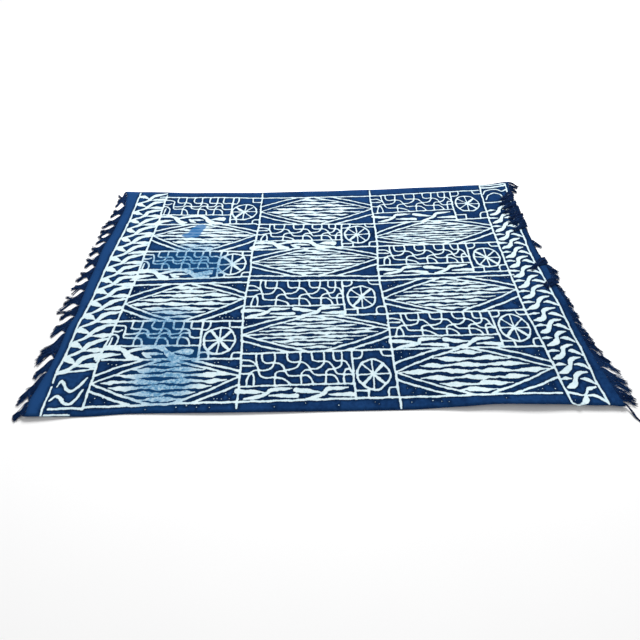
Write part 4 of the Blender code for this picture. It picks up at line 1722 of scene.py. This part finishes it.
def yarn_lines(side, locks, bunching, seed):
    """Middle lines of one fringe's yarns: points, edges, and each point's thickness and shade."""
    chance = random.Random(seed)
    places, joins, thick, shades = [], [], [], []
    cell = PANEL_WIDTH / LOCKS_A_SIDE
    for (lock, rings), bunch in zip(locks, bunches_of(locks, bunching, chance)):
        stray = lock is STRAY_YARN
        thrown = lock.turn > 0
        count = YARNS_IN_STRAY if stray else YARNS_A_LOCK + (MORE_IF_TURNED if lock.turn else 0)
        bunch = [other for other in bunch if other[0] is not STRAY_YARN]
        lock_shade = chance.uniform(-0.2, 0.2)
        further = 1.0 + THROWN_FURTHER * chance.random() if thrown else 1.0
        bulge = side * TURN_BULGE * chance.uniform(0.1, 1.0) if thrown else 0.0
        wavy = TURNED_WAVY if thrown else 1.0
        behind = ease((rings[0].place.y + BEHIND_FROM_Y) / BEHIND_FADE)
        loosen = bunching.front_loosen + (bunching.loosen - bunching.front_loosen) * behind
        bend = bend_of(side, lock, rings[0].place.y, behind)
        for yarn in range(count):
            lane = (yarn + 0.5) / count * 2.0 - 1.0
            phase = chance.uniform(0.0, math.tau)
            turns = chance.uniform(0.5, 1.5)
            reach = further + chance.uniform(-bunching.ragged, bunching.ragged * 0.3)
            level = chance.random()
            curl = chance.uniform(-1.0, 1.0)
            shade = 0.5 + lock_shade + chance.uniform(-0.3, 0.3)
            gather = (TURNED_GATHER if lock.turn else bunching.gather) * chance.uniform(0.7, 1.15)
            for step in range(YARN_STEPS + 1):
                share = step / YARN_STEPS
                ring = along_rings(rings, share * reach)
                angle = math.tau * turns * share + phase
                fan = (ring.width if stray else cell) * 0.5 * (1.0 - TIP_NARROW * ease(share))
                wave = math.sin(angle) * WAVE_ACROSS * wavy * ease(share * 2.0)
                aside = lane * fan * LANE_SHARE + wave + curl * END_CURL * share ** 3
                place = ring.place + ring.sideways * aside + ring.normal * (math.cos(angle) * WAVE_UP)
                place.x += bulge * math.sin(math.pi * min(share * 3.0, 1.0))
                if not stray:
                    parted = 1.0 - loosen * ease(share * 1.8 - 0.8)
                    drawn_in = gather * ease(share * 2.4) * parted
                    lean = lean_to(bunch, share * reach, ring.place, drawn_in)
                    place.x += lean.x
                    place.y += lean.y
                    place.y -= bend * share * share * (0.6 + 0.8 * level)
                    place.z += level * PILE_HEIGHT * ease(share * 1.3)
                if step == 0:
                    place.x -= side * STRIP_WIDTH
                else:
                    joins.append((len(places) - 1, len(places)))
                over_cloth = thrown and share > 0.4
                rests_on = cloth_height(place.x, place.y) + CLOTH_THICK if over_cloth else 0.0
                place.z = max(place.z, rests_on + YARN_RADIUS)
                places.append(place)
                thick.append((STRAY_THICKER if stray else 1.0) * (1.0 - TIP_THINNER * share ** 4))
                shades.append(shade)
    return places, joins, thick, shades


print("yarns in a lock:", YARNS_A_LOCK, "and in a turned one:", YARNS_A_LOCK + MORE_IF_TURNED)

# %% [markdown]
# ## From lines to round yarns
# A Geometry Nodes tree turns the yarns' middle lines into round yarns. It makes curves of the
# edges, sweeps a small ring along them, thinner where the `thickness` attribute says so, and
# sets the material. It also stores how far along its yarn each point is, for the twist. Its
# sizes are named inputs, so the same tree serves both fringes.

# %% Yarn tree
YARN_SIDES = 5


def yarn_tree():
    """A node tree that sweeps a ring along every line. Its sizes are named inputs."""
    tree = bpy.data.node_groups.new("yarn_from_line", "GeometryNodeTree")
    for name, kind in (
        ("Geometry", "Geometry"), ("Yarn Radius", "Float"), ("Yarn Sides", "Int"),
        ("Yarn Material", "Material"),
    ):
        tree.interface.new_socket(name, in_out="INPUT", socket_type="NodeSocket" + kind)
    tree.interface.new_socket("Geometry", in_out="OUTPUT", socket_type="NodeSocketGeometry")
    nodes = Nodes(tree)
    given = nodes.add("NodeGroupInput").outputs
    ring = nodes.add("GeometryNodeCurvePrimitiveCircle", None, {
        "Resolution": given["Yarn Sides"], "Radius": given["Yarn Radius"],
    })
    number = {"data_type": "FLOAT"}
    thickness = nodes.add("GeometryNodeInputNamedAttribute", number, {"Name": "thickness"})
    curve = nodes.add("GeometryNodeMeshToCurve", None, {"Mesh": given["Geometry"]})
    run = nodes.add("GeometryNodeSplineParameter")
    on_points = {"data_type": "FLOAT", "domain": "POINT"}
    keep_run = nodes.add("GeometryNodeStoreNamedAttribute", on_points, {
        "Geometry": curve.outputs["Curve"], "Name": "yarn_run", "Value": run.outputs["Length"],
    })
    sweep = nodes.add("GeometryNodeCurveToMesh", None, {
        "Curve": keep_run.outputs["Geometry"], "Profile Curve": ring.outputs["Curve"],
        "Scale": thickness.outputs["Attribute"], "Fill Caps": True,
    })
    realize = nodes.add("GeometryNodeRealizeInstances", None, {"Geometry": sweep.outputs["Mesh"]})
    paint = nodes.add("GeometryNodeSetMaterial", None, {
        "Geometry": realize.outputs["Geometry"], "Material": given["Yarn Material"],
    })
    nodes.add("NodeGroupOutput", None, {"Geometry": paint.outputs["Geometry"]})
    return tree


tree = yarn_tree()
socket_id = {item.name: item.identifier for item in tree.interface.items_tree if item.in_out == "INPUT"}
print("inputs of the tree:", sorted(socket_id))

# %% [markdown]
# ## Fringe yarn
# The yarn was dyed with the cloth. Its pale streaks are partly worn ends and partly painted highlight,
# the gleam of light on the yarns. Each yarn has its own shade, stored on its points, and a sine
# along the yarn and round it draws the twist, in the bump and as painted shade in the colour.

# %% Fringe yarn material
YARN_DARK = (0.0022, 0.0085, 0.036, 1.0)
YARN_BLUE = (0.0085, 0.0400, 0.140, 1.0)
YARN_WORN_AND_HIGHLIGHT = (0.0330, 0.0860, 0.185, 1.0)
TWISTS_A_METRE = 260.0
TWIST_SLANT = 1500.0

fringe_yarn, spun = new_material("spun_fringe_yarn")
place = spun.place()
apart = spun.add("ShaderNodeSeparateXYZ", None, {0: place})
slant = Value(spun, apart.outputs["Y"]) * TWIST_SLANT
twist = (spun.attribute("yarn_run") * (math.tau * TWISTS_A_METRE) + slant).sine()
fibre = spun.noise(place, 1500.0, 3.0, 0.7)
own_shade = spun.attribute("shade") * 0.8 + spun.noise(place, 120.0, 3.0, 0.6) * 0.7
# Painted shade: the twist lightens and darkens the blue in stripes along the yarn.
blue_yarn = spun.mix((own_shade + twist * 0.16 - 0.05).clamp(), YARN_DARK, YARN_BLUE)
# Painted highlight, partly real wear: pale streaks where light gleams on the yarn.
wear_and_highlight = spun.noise(place, 340.0, 3.0, 0.7) * 2.2 + spun.attribute("shade") * 0.6 - 0.45
spun.finish({
    "Base Color": spun.mix(wear_and_highlight.clamp() * 0.8, blue_yarn, YARN_WORN_AND_HIGHLIGHT),
    "Roughness": (0.82 + fibre * 0.2).clamp(),
    "Normal": spun.bump(twist * 0.5 + fibre * 0.6, 0.0003, 0.6),
    "Specular IOR Level": 0.03,
    "Sheen Weight": 0.01,
    "Sheen Roughness": 0.5,
})
print("yarn nodes:", len(spun.tree.nodes))

# %% [markdown]
# A modifier's input goes by its socket's identifier, not by its name. `new_from_object` reads
# the evaluated object, which is the swept yarns, and keeps them as a plain mesh. The lines and
# their modifier are then taken away, because only the yarns are a piece of the cloth.

# %% Make the two fringes
def make_fringe(name, node, side, locks, bunching, seed):
    """One fringe as a plain mesh, from its yarns' lines through the node tree."""
    places, joins, thick, shades = yarn_lines(side, locks, bunching, seed)
    mesh = bpy.data.meshes.new(name + "_lines")
    mesh.from_pydata(places, joins, [])
    for attribute, numbers in (("thickness", thick), ("shade", shades)):
        mesh.attributes.new(attribute, "FLOAT", "POINT").data.foreach_set("value", numbers)
    lines = bpy.data.objects.new(name + "_lines", mesh)
    bpy.context.scene.collection.objects.link(lines)
    modifier = lines.modifiers.new("yarns", "NODES")
    modifier.node_group = tree
    modifier[socket_id["Yarn Radius"]] = YARN_RADIUS
    modifier[socket_id["Yarn Sides"]] = YARN_SIDES
    modifier[socket_id["Yarn Material"]] = fringe_yarn
    swept = bpy.data.meshes.new_from_object(lines.evaluated_get(bpy.context.evaluated_depsgraph_get()))
    swept.name = name
    fringe = bpy.data.objects.new(name, swept)
    bpy.context.scene.collection.objects.link(fringe)
    lines.modifiers.clear()
    bpy.data.objects.remove(lines)
    swept.polygons.foreach_set("use_smooth", [True] * len(swept.polygons))
    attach(fringe, "root")
    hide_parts(node)
    print(name, "has", len(swept.polygons), "faces; materials:", [m.name for m in swept.materials])
    return fringe


left_fringe = make_fringe("fringe_yarns_left", "fringe_left", -1, left_locks, LEFT_BUNCHING, 31)
right_fringe = make_fringe("fringe_yarns_right", "fringe_right", 1, right_locks, RIGHT_BUNCHING, 47)
